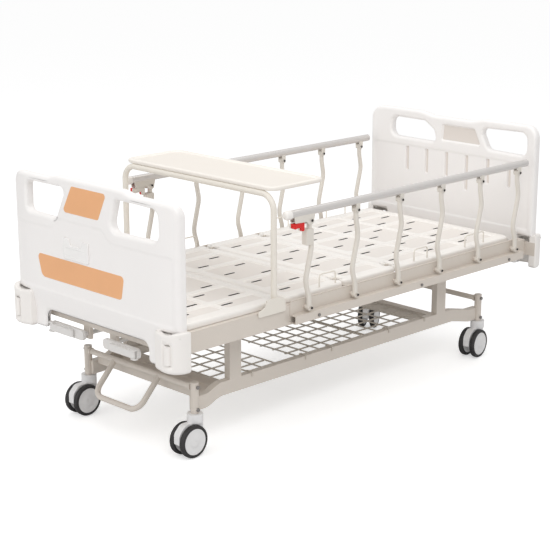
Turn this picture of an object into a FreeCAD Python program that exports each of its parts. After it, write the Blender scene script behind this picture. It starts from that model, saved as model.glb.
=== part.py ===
import FreeCAD, Part
import math
import os
import Sketcher
from FreeCAD import Placement, Rotation, Vector

# A manual hospital bed: +X points to the head end, +Z up, and the origin lies on the floor
# under the middle of the bed. The left side is the one at -Y.

DRIVING_SIZES = (
    ("bed_length", 2156, "over the outer faces of the two boards"),
    ("fit_gap", 0.3, "gap between pieces that pass or rest on each other"),
    ("wheel_diameter", 128, "twin caster wheels"),
    ("tyre_wide", 23, "width of one wheel"),
    ("tyre_thick", 13, "from the tread to the hub"),
    ("wheel_spread", 57, "between the middles of a twin pair"),
    ("caster_trail", 34, "from the swivel axis to the axle"),
    ("caster_reach", 859, "from mid bed to the swivel axis"),
    ("caster_track", 645, "between left and right swivel axes"),
    ("axle_diameter", 12, "caster axle"),
    ("collar_diameter", 62, "swivel head of a caster"),
    ("collar_high", 33, "swivel head of a caster"),
    ("post_diameter", 32, "tube over the caster stem"),
    ("post_foot", 162, "lower end of the tube over the caster stem"),
    ("post_high", 121, "length of that tube"),
    ("base_rail_high", 55, "lower side rail"),
    ("base_rail_wide", 30, "lower side rail"),
    ("base_rail_top", 249, "height of the lower side rail"),
    ("foot_seam", 690, "from mid bed to the foot end arm"),
    ("head_seam", 630, "from mid bed to the head end arm"),
    ("arm_drop", 27, "step of the end arms down to the caster"),
    ("arm_bend", 90, "radius of the step"),
    ("foot_column", 648, "from mid bed to the foot columns"),
    ("head_column", 594, "from mid bed to the head columns"),
    ("column_long", 60, "column section along the bed"),
    ("frame_width", 886, "over the upper side rails"),
    ("rail_wide", 40, "upper side rail"),
    ("rail_high", 80, "upper side rail"),
    ("rail_top", 530, "height of the upper side rail"),
    ("rail_clear", 12, "between the upper side rail and a board"),
    ("wall", 3, "tube and sheet walls"),
    ("cross_high", 44, "cross members of the upper frame"),
    ("deck_width", 844, "lying surface"),
    ("deck_thick", 26, "moulded deck panels"),
    ("deck_gap", 8, "between neighbouring deck panels"),
    ("deck_foot_clear", 45, "between the foot edge of the deck and the footboard"),
    ("calf_seam", 480, "from mid bed to the knee joint of the deck"),
    ("thigh_seam", 138, "from mid bed to the thigh hinge"),
    ("back_seam", 178, "from mid bed to the back hinge"),
    ("deck_head_clear", 95, "between the head edge of the deck and the headboard"),
    ("deck_corner", 34, "rounded corners of the deck panels"),
    ("slot_long", 62, "vent slots"),
    ("slot_wide", 11, "vent slots"),
    ("hinge_drop", 3, "deck hinge axis below the lying surface"),
    ("hinge_pin", 6, "deck hinge pins"),
    ("lever_long", 150, "from the deck hinge to the push pin"),
    ("lever_pin", 12, "push pin"),
    ("channel_foot", 476, "from mid bed to the foot end of the side rail channel"),
    ("channel_head", 976, "from mid bed to the head end of the side rail channel"),
    ("channel_low", 457, "underside of the side rail channel"),
    ("channel_high", 88, "side rail channel"),
    ("strip_high", 33, "lower box of the channel"),
    ("strip_deep", 33, "lower box of the channel"),
    ("guard_plane", 467, "from mid bed to the plane of the guard posts"),
    ("guard_first", 395.5, "from mid bed to the first guard post"),
    ("guard_pitch", 262.8, "between guard posts"),
    ("guard_pivot", 509.5, "height of the lower pivots"),
    ("guard_reach", 344, "between the lower and upper pivots"),
    ("guard_tube", 20, "guard post"),
    ("guard_boss", 24, "flattened ends of a guard post"),
    ("guard_pin", 8, "guard pivots"),
    ("guard_wave_low", 20, "sway of the post towards the foot end"),
    ("guard_wave_high", 14, "sway of the post towards the head end"),
    ("handrail_tube", 32, "handrail"),
    ("handrail_foot", 506, "from mid bed to the foot end of the handrail"),
    ("handrail_head", 979, "from mid bed to the head end of the handrail"),
    ("board_width", 966, "head and foot boards"),
    ("board_thick", 38, "head and foot boards"),
    ("board_sweep", 16, "how far the ends of a board curve back"),
    ("board_top", 1027, "height of the boards"),
    ("board_foot", 404, "lower end of the board legs"),
    ("board_shoulder", 542, "underside of a board above the corner covers"),
    ("board_arch", 480, "underside of a board between its legs"),
    ("cover_low", 405, "corner cover"),
    ("cover_top", 556, "corner cover"),
    ("cover_wall", 5, "corner cover"),
    ("bumper_diameter", 26, "corner bumper roller"),
    ("bumper_high", 72, "corner bumper roller"),
    ("crank_axis", 415, "height of the crank shafts"),
    ("back_crank_side", 110, "from mid bed to the back crank, on the right"),
    ("knee_crank_side", 50, "from mid bed to the knee crank, on the left"),
    ("crank_arm", 170, "from the crank shaft to the grip pivot"),
    ("shaft_diameter", 18, "crank shafts"),
    ("brake_axis", 262, "height of the brake bars"),
    ("brake_tube", 23, "brake bars"),
    ("pedal_long", 163, "from the brake bar to the tread of the pedal"),
    ("pedal_slope", 47, "degrees of the pedal below level"),
    ("mesh_pitch", 66, "between the wires of the luggage trays"),
    ("mesh_wire", 5, "wires of the luggage trays"),
    ("mesh_level", 232, "height of the luggage trays"),
    ("table_leg_place", 552, "from mid bed to the table legs"),
    ("table_leg_side", 434.4, "from mid bed to a table leg, sideways"),
    ("table_tube", 24, "table legs"),
    ("table_top_level", 978, "underside of the table top"),
    ("table_long", 294, "table top along the bed"),
    ("table_wide", 868, "table top across the bed"),
    ("table_thick", 16, "table top"),
)

doc = FreeCAD.newDocument("hospital_bed")
sheet = doc.addObject("Spreadsheet::Sheet", "Sizes")


def text(value):
    return value.formula if isinstance(value, Size) else "(%.9g)" % value


class Size:
    """A length in mm together with the sheet formula that it comes from."""

    def __init__(self, value, formula):
        self.value = float(value)
        self.formula = formula

    def __float__(self):
        return self.value

    def __neg__(self):
        return Size(-self.value, "(-1 * %s)" % self.formula)

    def __add__(self, other):
        return Size(self.value + float(other), "(%s + %s)" % (self.formula, text(other)))

    def __radd__(self, other):
        return Size(float(other) + self.value, "(%s + %s)" % (text(other), self.formula))

    def __sub__(self, other):
        return Size(self.value - float(other), "(%s - %s)" % (self.formula, text(other)))

    def __rsub__(self, other):
        return Size(float(other) - self.value, "(%s - %s)" % (text(other), self.formula))

    def __mul__(self, other):
        return Size(self.value * float(other), "(%s * %s)" % (self.formula, text(other)))

    def __rmul__(self, other):
        return Size(float(other) * self.value, "(%s * %s)" % (text(other), self.formula))

    def __truediv__(self, other):
        return Size(self.value / float(other), "(%s / %s)" % (self.formula, text(other)))


class Sizes:
    """The driving sizes by name, as the sheet holds them."""


S = Sizes()
for row, (alias, number, note) in enumerate(DRIVING_SIZES, start=1):
    sheet.set("A%d" % row, alias)
    sheet.set("B%d" % row, str(number))
    sheet.set("C%d" % row, note)
    sheet.setAlias("B%d" % row, alias)
    setattr(S, alias, Size(number, "Sizes." + alias))
doc.recompute()

# Lengths that end a clearance short of the boards
board_face = S.bed_length / 2
board_back = board_face - S.board_thick
S.rail_reach = board_back - S.rail_clear
S.deck_foot = board_back - S.deck_foot_clear
S.deck_head = board_back - S.deck_head_clear

FOOT, HEAD = -1, 1
LEFT, RIGHT = -1, 1
ENDS = {"foot": FOOT, "head": HEAD}
SIDES = {"left": LEFT, "right": RIGHT}

nodes = []


# Small tools for placing and binding

def bind(thing, field, value):
    """Ties a field of an object to the sheet, or sets it once where it is a plain number."""
    if isinstance(value, Size):
        thing.setExpression(field, value.formula)


def place(thing, spot, turn=None):
    thing.Placement = Placement(Vector(*[float(way) for way in spot]), turn or Rotation())
    for axis, way in zip("xyz", spot):
        bind(thing, "Placement.Base." + axis, way)
    return thing


def node(label, *pieces):
    """One named node: a single piece, or a group of separate like pieces."""
    if len(pieces) == 1:
        group = pieces[0]
        group.Label = label
    else:
        group = doc.addObject("Part::Compound", label)
        group.Links = list(pieces)
    nodes.append(group)
    return group


def block(name, along, across, up):
    """A plain block between two places along X, Y and Z."""
    piece = doc.addObject("Part::Box", name)
    for field, (low, high) in zip(("Length", "Width", "Height"), (along, across, up)):
        setattr(piece, field, float(high) - float(low))
        bind(piece, field, high - low)
    return place(piece, (along[0], across[0], up[0]))


TURNS = {
    "x": Rotation(Vector(0, 1, 0), 90),
    "y": Rotation(Vector(1, 0, 0), -90),
    "z": Rotation(),
}


def rod(name, diameter, length, spot, axis="z"):
    """A round bar that starts at a spot and runs along an axis."""
    piece = doc.addObject("Part::Cylinder", name)
    piece.Radius = float(diameter) / 2
    piece.Height = float(length)
    bind(piece, "Radius", diameter / 2)
    bind(piece, "Height", length)
    return place(piece, spot, TURNS[axis])


def cut(name, base, tool):
    piece = doc.addObject("Part::Cut", name)
    piece.Base = base
    piece.Tool = tool
    return piece


def fuse(name, *shapes):
    piece = doc.addObject("Part::MultiFuse", name)
    piece.Shapes = list(shapes)
    return piece


def group_of(name, *shapes):
    piece = doc.addObject("Part::Compound", name)
    piece.Links = list(shapes)
    return piece


def mirrored(name, source, normal=(0, 1, 0)):
    """The same piece on the other side of the bed's middle plane."""
    piece = doc.addObject("Part::Mirroring", name)
    piece.Source = source
    piece.Normal = Vector(*normal)
    return piece


def tube(name, along, across, up, open_way):
    """A box section tube, open at both ends of the way it runs."""
    outer = block(name + "_outside", along, across, up)
    spans = {"x": along, "y": across, "z": up}
    inner = {way: span if way == open_way else (span[0] + S.wall, span[1] - S.wall)
             for way, span in spans.items()}
    hollow = block(name + "_inside", inner["x"], inner["y"], inner["z"])
    return cut(name, outer, hollow)


# Sketches and the features on them

def new_body(name):
    return doc.addObject("PartDesign::Body", name)


def sketch_on(body, role, lift=0):
    """A sketch on one of the body's own planes. XZ looks along +Y, so its lift counts to -Y."""
    plane = [face for face in body.Origin.OriginFeatures if face.Role == role][0]
    sketch = body.newObject("Sketcher::SketchObject", "Outline")
    sketch.AttachmentSupport = (plane, [""])
    sketch.MapMode = "FlatFace"
    sketch.AttachmentOffset = Placement(Vector(0, 0, float(lift)), Rotation())
    bind(sketch, "AttachmentOffset.Base.z", lift)
    return sketch


class Rules:
    """The constraints of one outline, gathered first and handed to the sketch together."""

    def __init__(self, sketch):
        self.sketch = sketch
        self.rules = []
        self.sizes = []

    def add(self, kind, *parts):
        self.rules.append(Sketcher.Constraint(kind, *parts))

    def dimension(self, kind, *parts):
        self.sizes.append((len(self.rules), parts[-1]))
        self.rules.append(Sketcher.Constraint(kind, *parts[:-1], float(parts[-1])))

    def pin_down(self, shape, end, x, y):
        """Holds a point at its place, on an axis of the sketch where a coordinate is zero."""
        for kind, axis, way in (("DistanceX", -2, x), ("DistanceY", -1, y)):
            if float(way):
                self.dimension(kind, -1, 1, shape, end, way)
            else:
                self.add("PointOnObject", shape, end, axis)

    def apply(self):
        first = self.sketch.ConstraintCount
        self.sketch.addConstraint(self.rules)
        for index, value in self.sizes:
            bind(self.sketch, "Constraints[%d]" % (first + index), value)


def corner_arc(before, corner, after, radius):
    """Where an arc tangent to two runs starts and ends, with its centre and its turn."""
    back = (before - corner).normalize()
    ahead = (after - corner).normalize()
    half = back.getAngle(ahead) / 2
    setback = radius / math.tan(half)
    centre = corner + (back + ahead).normalize() * (radius / math.sin(half))
    leftward = back.cross(ahead).z < 0
    return corner + back * setback, corner + ahead * setback, centre, leftward


def trace(sketch, corners, closed=True):
    """Straight runs through the corners, each an (x, y) or, with a tangent arc, an (x, y, radius)."""
    rules = Rules(sketch)
    spots = [Vector(float(corner[0]), float(corner[1]), 0) for corner in corners]
    count = len(spots)
    starts = list(spots)
    ends = list(spots)
    arcs = {}
    for i, corner in enumerate(corners):
        if len(corner) > 2:
            arcs[i] = corner_arc(spots[i - 1], spots[i], spots[(i + 1) % count], float(corner[2]))
            ends[i], starts[i] = arcs[i][:2]
    runs = count if closed else count - 1
    lines = [sketch.addGeometry(Part.LineSegment(starts[i], ends[(i + 1) % count]), False)
             for i in range(runs)]
    for i, corner in enumerate(corners):
        if i in arcs:
            round_corner(rules, arcs[i], spots[i], corner, lines[i - 1], lines[i])
            continue
        if closed or 0 < i < count - 1:
            rules.add("Coincident", lines[i - 1], 2, lines[i], 1)
        if i < runs:
            rules.pin_down(lines[i], 1, corner[0], corner[1])
        else:
            rules.pin_down(lines[i - 1], 2, corner[0], corner[1])
    rules.apply()
    return sketch


def round_corner(rules, arc_points, spot, corner, before, after):
    """The tangent arc at a corner, whose sharp point stays as a construction point."""
    first, last, centre, leftward = arc_points
    begin, finish = (first, last) if leftward else (last, first)
    angles = [math.atan2(end.y - centre.y, end.x - centre.x) for end in (begin, finish)]
    circle = Part.Circle(centre, Vector(0, 0, 1), float(corner[2]))
    arc = rules.sketch.addGeometry(Part.ArcOfCircle(circle, angles[0], angles[1]), False)
    entry, leave = (1, 2) if leftward else (2, 1)
    rules.add("Tangent", before, 2, arc, entry)
    rules.add("Tangent", arc, leave, after, 1)
    rules.dimension("Radius", arc, corner[2])
    point = rules.sketch.addGeometry(Part.Point(spot), True)
    rules.add("PointOnObject", point, 1, before)
    rules.add("PointOnObject", point, 1, after)
    rules.pin_down(point, 1, corner[0], corner[1])


def ring(sketch, x, y, diameter):
    rules = Rules(sketch)
    circle = Part.Circle(Vector(float(x), float(y), 0), Vector(0, 0, 1), float(diameter) / 2)
    shape = sketch.addGeometry(circle, False)
    rules.pin_down(shape, 3, x, y)
    rules.dimension("Radius", shape, diameter / 2)
    rules.apply()
    return sketch


def rectangle(low, high, radius=None):
    """The four corners between a low and a high corner, rounded where a radius is given."""
    rounding = () if radius is None else (radius,)
    return [(x, y) + rounding for x, y in
            ((low[0], low[1]), (high[0], low[1]), (high[0], high[1]), (low[0], high[1]))]


def pad(body, sketch, length):
    feature = body.newObject("PartDesign::Pad", "Pad")
    feature.Profile = sketch
    feature.Length = float(length)
    bind(feature, "Length", length)
    return feature


def pocket(body, sketch, depth=None, reversed_way=False):
    """Cuts a sketch out of the body: to a depth against the sketch's normal, or right through."""
    feature = body.newObject("PartDesign::Pocket", "Pocket")
    feature.Profile = sketch
    if depth is None:
        feature.Type = "ThroughAll"
        feature.Midplane = True
    else:
        feature.Length = float(depth)
        bind(feature, "Length", depth)
    feature.Reversed = reversed_way
    return feature


def sweep(body, profile, spine):
    feature = body.newObject("PartDesign::AdditivePipe", "Pipe")
    feature.Profile = profile
    feature.Spine = (spine, [""])
    return feature


# Base frame

base_outside = S.caster_track / 2
base_inside = base_outside - S.base_rail_wide
base_rail_low = S.base_rail_top - S.base_rail_high
post_top = S.post_foot + S.post_high


def base_rails():
    left = block("left_base_rail", (-S.foot_seam, S.head_seam), (-base_outside, -base_inside),
                 (base_rail_low, S.base_rail_top))
    node("base_rails", left, mirrored("right_base_rail", left))


def end_arm(name, end, seam):
    """The swan neck that steps down from a base rail to its caster tube."""
    body = new_body(name + "_profile")
    flat = 34
    straight = 42
    reach = end * S.caster_reach
    top, low = S.base_rail_top, base_rail_low
    trace(sketch_on(body, "XZ_Plane", base_inside), [
        (end * seam, top),
        (end * (seam + straight), top, S.arm_bend),
        (end * (S.caster_reach - flat - S.post_diameter), top - S.arm_drop, S.arm_bend),
        (reach, top - S.arm_drop),
        (reach, low - S.arm_drop),
        (end * (S.caster_reach - flat - S.post_diameter), low - S.arm_drop, S.arm_bend),
        (end * (seam + straight), low, S.arm_bend),
        (end * seam, low),
    ])
    pad(body, body.Group[-1], S.base_rail_wide)
    cope = rod(name + "_cope", S.post_diameter + 0.2, 200, (reach, -base_outside, 120))
    return cut(name, body, cope)


def base_end_arms():
    left = [end_arm(name + "_left_arm", end, seam) for name, end, seam in
            (("foot", FOOT, S.foot_seam), ("head", HEAD, S.head_seam))]
    right = [mirrored(arm.Name.replace("left", "right"), arm) for arm in left]
    node("base_end_arms", *left, *right)


def base_cross_beams():
    """A wide folded tray at the foot end and a box beam at the head end."""
    foot = new_body("foot_tray")
    near, far = -S.foot_seam - 12, -S.foot_seam - 146
    floor = S.base_rail_top - 40
    rim = S.base_rail_top - 8
    trace(sketch_on(foot, "XZ_Plane", -base_inside), [
        (near, rim), (far, rim), (far, floor), (near, floor)])
    pad(foot, foot.Group[-1], 2 * base_inside)
    hollow = sketch_on(foot, "XZ_Plane", -base_inside)
    trace(hollow, [
        (near - S.wall, rim + 1), (far + S.wall, rim + 1),
        (far + S.wall, floor + S.wall, 6), (near - S.wall, floor + S.wall, 6)])
    pocket(foot, hollow, 2 * base_inside, True)
    head = tube("head_beam", (S.head_column - 60, S.head_column - 20), (-base_inside, base_inside),
                (base_rail_low + 8, S.base_rail_top), "y")
    node("base_cross_beams", foot, head)


def caster_posts():
    posts = []
    for end_name, end in ENDS.items():
        for side_name, side in SIDES.items():
            posts.append(rod("%s_%s_post" % (end_name, side_name), S.post_diameter, S.post_high,
                             (end * S.caster_reach, side * base_outside, S.post_foot)))
    node("caster_posts", *posts)


def frame_columns():
    columns = []
    for name, middle in (("foot", -S.foot_column), ("head", S.head_column)):
        left = block(name + "_left_column",
                     (middle - S.column_long / 2, middle + S.column_long / 2),
                     (-base_outside, -base_inside), (S.base_rail_top, cross_low))
        columns += [left, mirrored(name + "_right_column", left)]
    node("frame_columns", *columns)


# Casters

axle_height = S.wheel_diameter / 2
hub_diameter = S.wheel_diameter - 2 * S.tyre_thick
CASTER_HEADINGS = {"foot_left": 0, "foot_right": 0, "head_left": 7, "head_right": 26}


def caster_place(corner):
    end_name, side_name = corner.split("_")
    spot = (ENDS[end_name] * S.caster_reach, SIDES[side_name] * base_outside, 0)
    return spot, Rotation(Vector(0, 0, 1), CASTER_HEADINGS[corner])


def caster_fork(corner):
    """Swivel head and the fender between the two wheels, with the axle through it."""
    thick = S.wheel_spread - S.tyre_wide - 4
    body = new_body(corner + "_fender")
    reach = S.wheel_diameter / 2 - 5
    crown = S.post_foot - S.fit_gap - S.collar_high + 0.5
    trace(sketch_on(body, "XZ_Plane", -thick / 2), [
        (-S.caster_trail - reach, axle_height - 8, 6),
        (-S.caster_trail - reach, axle_height + 34, 30),
        (-S.caster_trail - reach + 30, crown, 30),
        (S.collar_diameter / 2 - 4, crown, 4),
        (S.collar_diameter / 2 - 4, axle_height + 20, 20),
        (-S.caster_trail + 14, axle_height - 14, 12),
    ])
    pad(body, body.Group[-1], thick)
    collar = sketch_on(body, "XY_Plane", S.post_foot - S.fit_gap - S.collar_high)
    ring(collar, 0, 0, S.collar_diameter)
    pad(body, collar, S.collar_high)
    axle = sketch_on(body, "XZ_Plane", -S.wheel_spread / 2 - S.tyre_wide / 2 + 2)
    ring(axle, -S.caster_trail, axle_height, S.axle_diameter)
    pad(body, axle, S.wheel_spread + S.tyre_wide - 4)
    place(body, *caster_place(corner))
    node(corner + "_caster_fork", body)


def end_rims(plain, diameter, which=None):
    """The circular edges of a diameter, or the one that comes first along X."""
    rims = [("Edge%d" % (i + 1), edge.CenterOfMass.x) for i, edge in enumerate(plain.Shape.Edges)
            if abs(edge.Length - math.pi * float(diameter)) < 0.5]
    rims.sort(key=lambda rim: rim[1])
    names = [name for name, _ in rims]
    return names if which is None else [names[which]]


def ease(body, kind, plain, edges, size):
    """Breaks edges of the body with a chamfer or a fillet."""
    feature = body.newObject("PartDesign::" + kind, kind)
    feature.Base = (plain, edges)
    setattr(feature, "Size" if kind == "Chamfer" else "Radius", size)
    return feature


def wheel_ring(name, side, outer, inner, wide, bevel):
    body = new_body(name)
    middle = side * S.wheel_spread / 2
    disc = sketch_on(body, "XZ_Plane", middle - wide / 2)
    ring(disc, -S.caster_trail, axle_height, outer)
    ring(disc, -S.caster_trail, axle_height, inner)
    plain = pad(body, disc, wide)
    doc.recompute()
    ease(body, "Chamfer", plain, end_rims(plain, outer), bevel)
    return body


def caster_wheels(corner):
    """Two tyres and their hubs, which turn on one axle."""
    pieces = []
    for side_name, side in SIDES.items():
        start = "%s_%s" % (corner, side_name)
        tyre = wheel_ring(start + "_tyre", side, S.wheel_diameter, hub_diameter, S.tyre_wide, 4)
        hub = wheel_ring(start + "_hub", side, hub_diameter, S.axle_diameter + 2 * S.fit_gap,
                         S.tyre_wide - 1, 3)
        pieces += [place(tyre, *caster_place(corner)), place(hub, *caster_place(corner))]
    node(corner + "_wheels", *pieces)


# Upper frame

rail_outside = S.frame_width / 2
rail_inside = rail_outside - S.rail_wide
rail_low = S.rail_top - S.rail_high
cross_low = rail_low
deck_low = S.rail_top + S.fit_gap
deck_top = deck_low + S.deck_thick
hinge_level = deck_top - S.hinge_drop
knee_level = deck_low - 9


def main_side_rails():
    left = tube("left_main_rail", (-S.rail_reach, S.rail_reach), (-rail_outside, -rail_inside),
                (rail_low, S.rail_top), "x")
    node("main_side_rails", left, mirrored("right_main_rail", left))


def cross_tube(name, middle, long, low, high):
    return tube(name, (middle - long / 2, middle + long / 2), (-rail_inside, rail_inside),
                (low, high), "y")


def main_cross_members():
    members = [
        cross_tube("foot_end_tube", -S.rail_reach + 22, 40, rail_low - 4, rail_low + 56),
        cross_tube("head_end_tube", S.rail_reach - 22, 40, rail_low - 4, rail_low + 56),
        cross_tube("foot_column_tube", -S.foot_column, S.column_long, cross_low,
                   cross_low + S.cross_high),
        cross_tube("head_column_tube", S.head_column, S.column_long, cross_low,
                   cross_low + S.cross_high),
        cross_tube("thigh_hinge_tube", -S.thigh_seam + 75, 40, S.rail_top - 60, deck_low - 10),
        cross_tube("back_hinge_tube", S.back_seam - 103, 40, S.rail_top - 60, deck_low - 10),
    ]
    for name, x, away, foot in (("thigh", -S.thigh_seam, -1, 90), ("back", S.back_seam, 1, 118)):
        members += [hinge_lug("%s_%s_lug" % (name, side_name), x, side, away, foot, hinge_level)
                    for side_name, side in SIDES.items()]
    node("main_cross_members", *members)


# Deck

hinge_side = S.deck_width / 2 - 60
HINGE_HALF = 14
FIELD_DEEP, DECK_SKIN, RIB = 3, 5, 8
VENTS_ACROSS, VENT_PITCH = 5, 158
STOP_RISE, STOP_WIRE = 50, 6


def deck_panel(name, low, high, columns, notches):
    """A moulded deck panel with rounded corners, vent slots and notches for its hinge ears."""
    body = new_body(name)
    half = S.deck_width / 2
    trace(sketch_on(body, "XY_Plane", deck_low),
          rectangle((low, -half), (high, half), S.deck_corner))
    pad(body, body.Group[-1], S.deck_thick)
    rim = 34
    field = sketch_on(body, "XY_Plane", deck_top)
    trace(field, rectangle((low + rim, -half + rim), (high - rim, half - rim), 12))
    pocket(body, field, FIELD_DEEP)
    hollow_bays(body, low, high, columns // 2)
    vent_rows(body, low + rim, high - rim, columns)
    if not notches:
        return body
    gaps = sketch_on(body, "XY_Plane", deck_top)
    for x in notches:
        for side in SIDES.values():
            middle = side * hinge_side
            trace(gaps, rectangle((x - 16, middle - HINGE_HALF), (x + 16, middle + HINGE_HALF)))
    pocket(body, gaps, S.deck_thick + 2)
    return body


def vent_rows(body, low, high, columns):
    """Staggered rows of vent slots: two rows across the bed, repeated along it."""
    pitch = (high - low) / columns
    for odd in (0, 1):
        x = low + pitch * (odd + 0.5)
        vents = sketch_on(body, "XY_Plane", deck_top)
        for place_across in range(VENTS_ACROSS - odd):
            y = (place_across - (VENTS_ACROSS - 1 - odd) / 2) * VENT_PITCH
            trace(vents, rectangle((x - S.slot_long / 2, y - S.slot_wide / 2),
                                   (x + S.slot_long / 2, y + S.slot_wide / 2), 5))
        row = pocket(body, vents, S.deck_thick + 2)
        if columns > 2:
            rows = body.newObject("PartDesign::LinearPattern", "Rows")
            rows.Originals = [row]
            rows.Direction = (vents, ["H_Axis"])
            rows.Length = float(pitch * (columns - 2))
            bind(rows, "Length", pitch * (columns - 2))
            rows.Occurrences = columns // 2
            body.Tip = rows


def hollow_bays(body, low, high, bays):
    """Opens the underside between ribs, and leaves it solid over the hinges and the lever."""
    wide = (high - low - RIB) / bays
    under = sketch_on(body, "XY_Plane", deck_low)
    for i in range(bays):
        start = low + RIB + wide * i
        for near, far in ((-hinge_side + 32, -S.knee_crank_side - 38),
                          (S.back_crank_side + 38, hinge_side - 32)):
            trace(under, rectangle((start, near), (start + wide - RIB, far)))
    pocket(body, under, S.deck_thick - FIELD_DEEP - DECK_SKIN, True)


def mattress_stop(name, low, high):
    """A bent wire hoop that stands on each side edge of a deck panel."""
    hoops = []
    for side_name, side in SIDES.items():
        body = new_body("%s_%s_stop" % (name, side_name))
        across = side * (S.deck_width / 2 - 10)
        hoop_top = deck_top + STOP_RISE
        spine = sketch_on(body, "XZ_Plane", -across)
        trace(spine, [(low, deck_top), (low, hoop_top, 14), (high, hoop_top, 14),
                      (high, deck_top)], closed=False)
        sweep(body, ring(sketch_on(body, "XY_Plane", deck_top), low, across, STOP_WIRE), spine)
        hoops.append(body)
    return hoops


calf_low, calf_high = -S.deck_foot, -S.calf_seam - S.deck_gap / 2
thigh_low, thigh_high = -S.calf_seam + S.deck_gap / 2, -S.thigh_seam - S.deck_gap / 2
seat_low, seat_high = -S.thigh_seam + S.deck_gap / 2, S.back_seam - S.deck_gap / 2
back_low, back_high = S.back_seam + S.deck_gap / 2, S.deck_head


def hinge_leaf(x, along, foot, level):
    """The outline of a hinge leaf: a foot under its panel and an eye round the pin."""
    if level is knee_level:
        return [(x - along * 7, level + 7, 6), (x - along * 7, level - 7, 6),
                (x + along * 18, level - 7, 8), (x + along * foot, deck_low - 6),
                (x + along * foot, deck_low), (x + along * 14, deck_low),
                (x + along * 9, level + 7, 3)]
    return [(x - along * 5, level + 4, 4), (x - along * 5, deck_low - 10, 3),
            (x + along * foot, deck_low - 10, 3), (x + along * foot, deck_low),
            (x + along * 15, deck_low), (x + along * 5, level + 4, 4)]


def hinge_ears(name, x, away, level):
    """Bored ears on feet under the panel that turns, one beside each end of the seam."""
    return [hinge_ear("%s_%s_ear" % (name, side_name), x, side, away, level)
            for side_name, side in SIDES.items()]


def hinge_ear(name, x, side, away, level):
    body = new_body(name)
    ear = sketch_on(body, "XZ_Plane", -side * hinge_side - 2)
    trace(ear, hinge_leaf(x, away, 40, level))
    pad(body, ear, 4)
    bore = sketch_on(body, "XZ_Plane", 0)
    ring(bore, x, level, S.hinge_pin + 2 * S.fit_gap)
    pocket(body, bore)
    return body


def hinge_lug(name, x, side, away, foot, level):
    """A forked lug with the hinge pin across it, for the ear of the panel beyond the seam."""
    body = new_body(name)
    middle = side * hinge_side
    for lift in (2 + S.fit_gap, -6 - S.fit_gap):
        cheek = sketch_on(body, "XZ_Plane", -middle + lift)
        trace(cheek, hinge_leaf(x, -away, foot, level))
        pad(body, cheek, 4)
    pin = sketch_on(body, "XZ_Plane", -middle - 6 - S.fit_gap)
    ring(pin, x, level, S.hinge_pin)
    pad(body, pin, 12 + 2 * S.fit_gap)
    return body


def seat_deck():
    node("seat_deck", deck_panel("seat_panel", seat_low, seat_high, 2,
                                 (-S.thigh_seam, S.back_seam)))


def back_deck():
    panel = deck_panel("back_panel", back_low, back_high, 6, (S.back_seam,))
    ears = hinge_ears("back", S.back_seam, 1, hinge_level)
    stops = mattress_stop("waist", S.back_seam + 115, S.back_seam + 200)
    stops += mattress_stop("chest", S.back_seam + 455, S.back_seam + 585)
    node("back_deck", panel, *ears, *stops,
         lift_lever("back", S.back_crank_side, S.back_seam, 1))


def thigh_deck():
    panel = deck_panel("thigh_panel", thigh_low, thigh_high, 2, (-S.thigh_seam,))
    ears = hinge_ears("thigh", -S.thigh_seam, -1, hinge_level)
    lugs = [hinge_lug("knee_%s_lug" % name, -S.calf_seam, side, -1, 40, knee_level)
            for name, side in SIDES.items()]
    stops = mattress_stop("thigh", -S.thigh_seam - 142, -S.thigh_seam - 50)
    node("thigh_deck", panel, *ears, *lugs, *stops,
         lift_lever("knee", -S.knee_crank_side, -S.thigh_seam, -1))


def calf_deck():
    panel = deck_panel("calf_panel", calf_low, calf_high, 4, ())
    node("calf_deck", panel, *hinge_ears("calf", -S.calf_seam, -1, knee_level))


# Guard rails on both sides

guard_outside = S.guard_plane
boss_thick = S.guard_tube
ear_thick = 3
GUARD_POSTS = range(6)


def guard_x(index):
    return index * S.guard_pitch - S.guard_first


def both_sides(name, left):
    """Names the left piece and its mirror image on the right."""
    right = mirrored("right_" + name + "_copy", left)
    node("left_" + name, left)
    node("right_" + name, right)


def rail_channel():
    """A web on the upper side rail with a box strip below and a pivot stud for each post."""
    body = new_body("left_channel_profile")
    web = rail_outside + S.fit_gap
    trace(sketch_on(body, "YZ_Plane", -S.channel_foot), [
        (-web, S.channel_low), (-web, S.channel_low + S.channel_high),
        (-web - S.wall - 3, S.channel_low + S.channel_high),
        (-web - S.wall, S.channel_low + S.channel_high - 4),
        (-web - S.wall, S.channel_low + S.strip_high),
        (-web - S.strip_deep, S.channel_low + S.strip_high),
        (-web - S.strip_deep, S.channel_low)])
    trace(body.Group[-1], rectangle((-web - S.strip_deep + S.wall, S.channel_low + S.wall),
                                    (-web - S.wall, S.channel_low + S.strip_high - S.wall)))
    pad(body, body.Group[-1], S.channel_foot + S.channel_head)
    studs = sketch_on(body, "XZ_Plane", web)
    pins = sketch_on(body, "XZ_Plane", web)
    for index in GUARD_POSTS:
        ring(studs, guard_x(index), S.guard_pivot, S.guard_boss - 4)
        ring(pins, guard_x(index), S.guard_pivot, S.guard_pin)
    pad(body, studs, guard_outside - boss_thick / 2 - S.fit_gap - web)
    pad(body, pins, guard_outside + boss_thick / 2 + S.fit_gap - web + 0.5)
    heads = sketch_on(body, "XZ_Plane", guard_outside + boss_thick / 2 + S.fit_gap)
    for index in GUARD_POSTS:
        ring(heads, guard_x(index), S.guard_pivot, S.guard_pin + 6)
    pad(body, heads, 3)
    both_sides("rail_channel", body)


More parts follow.
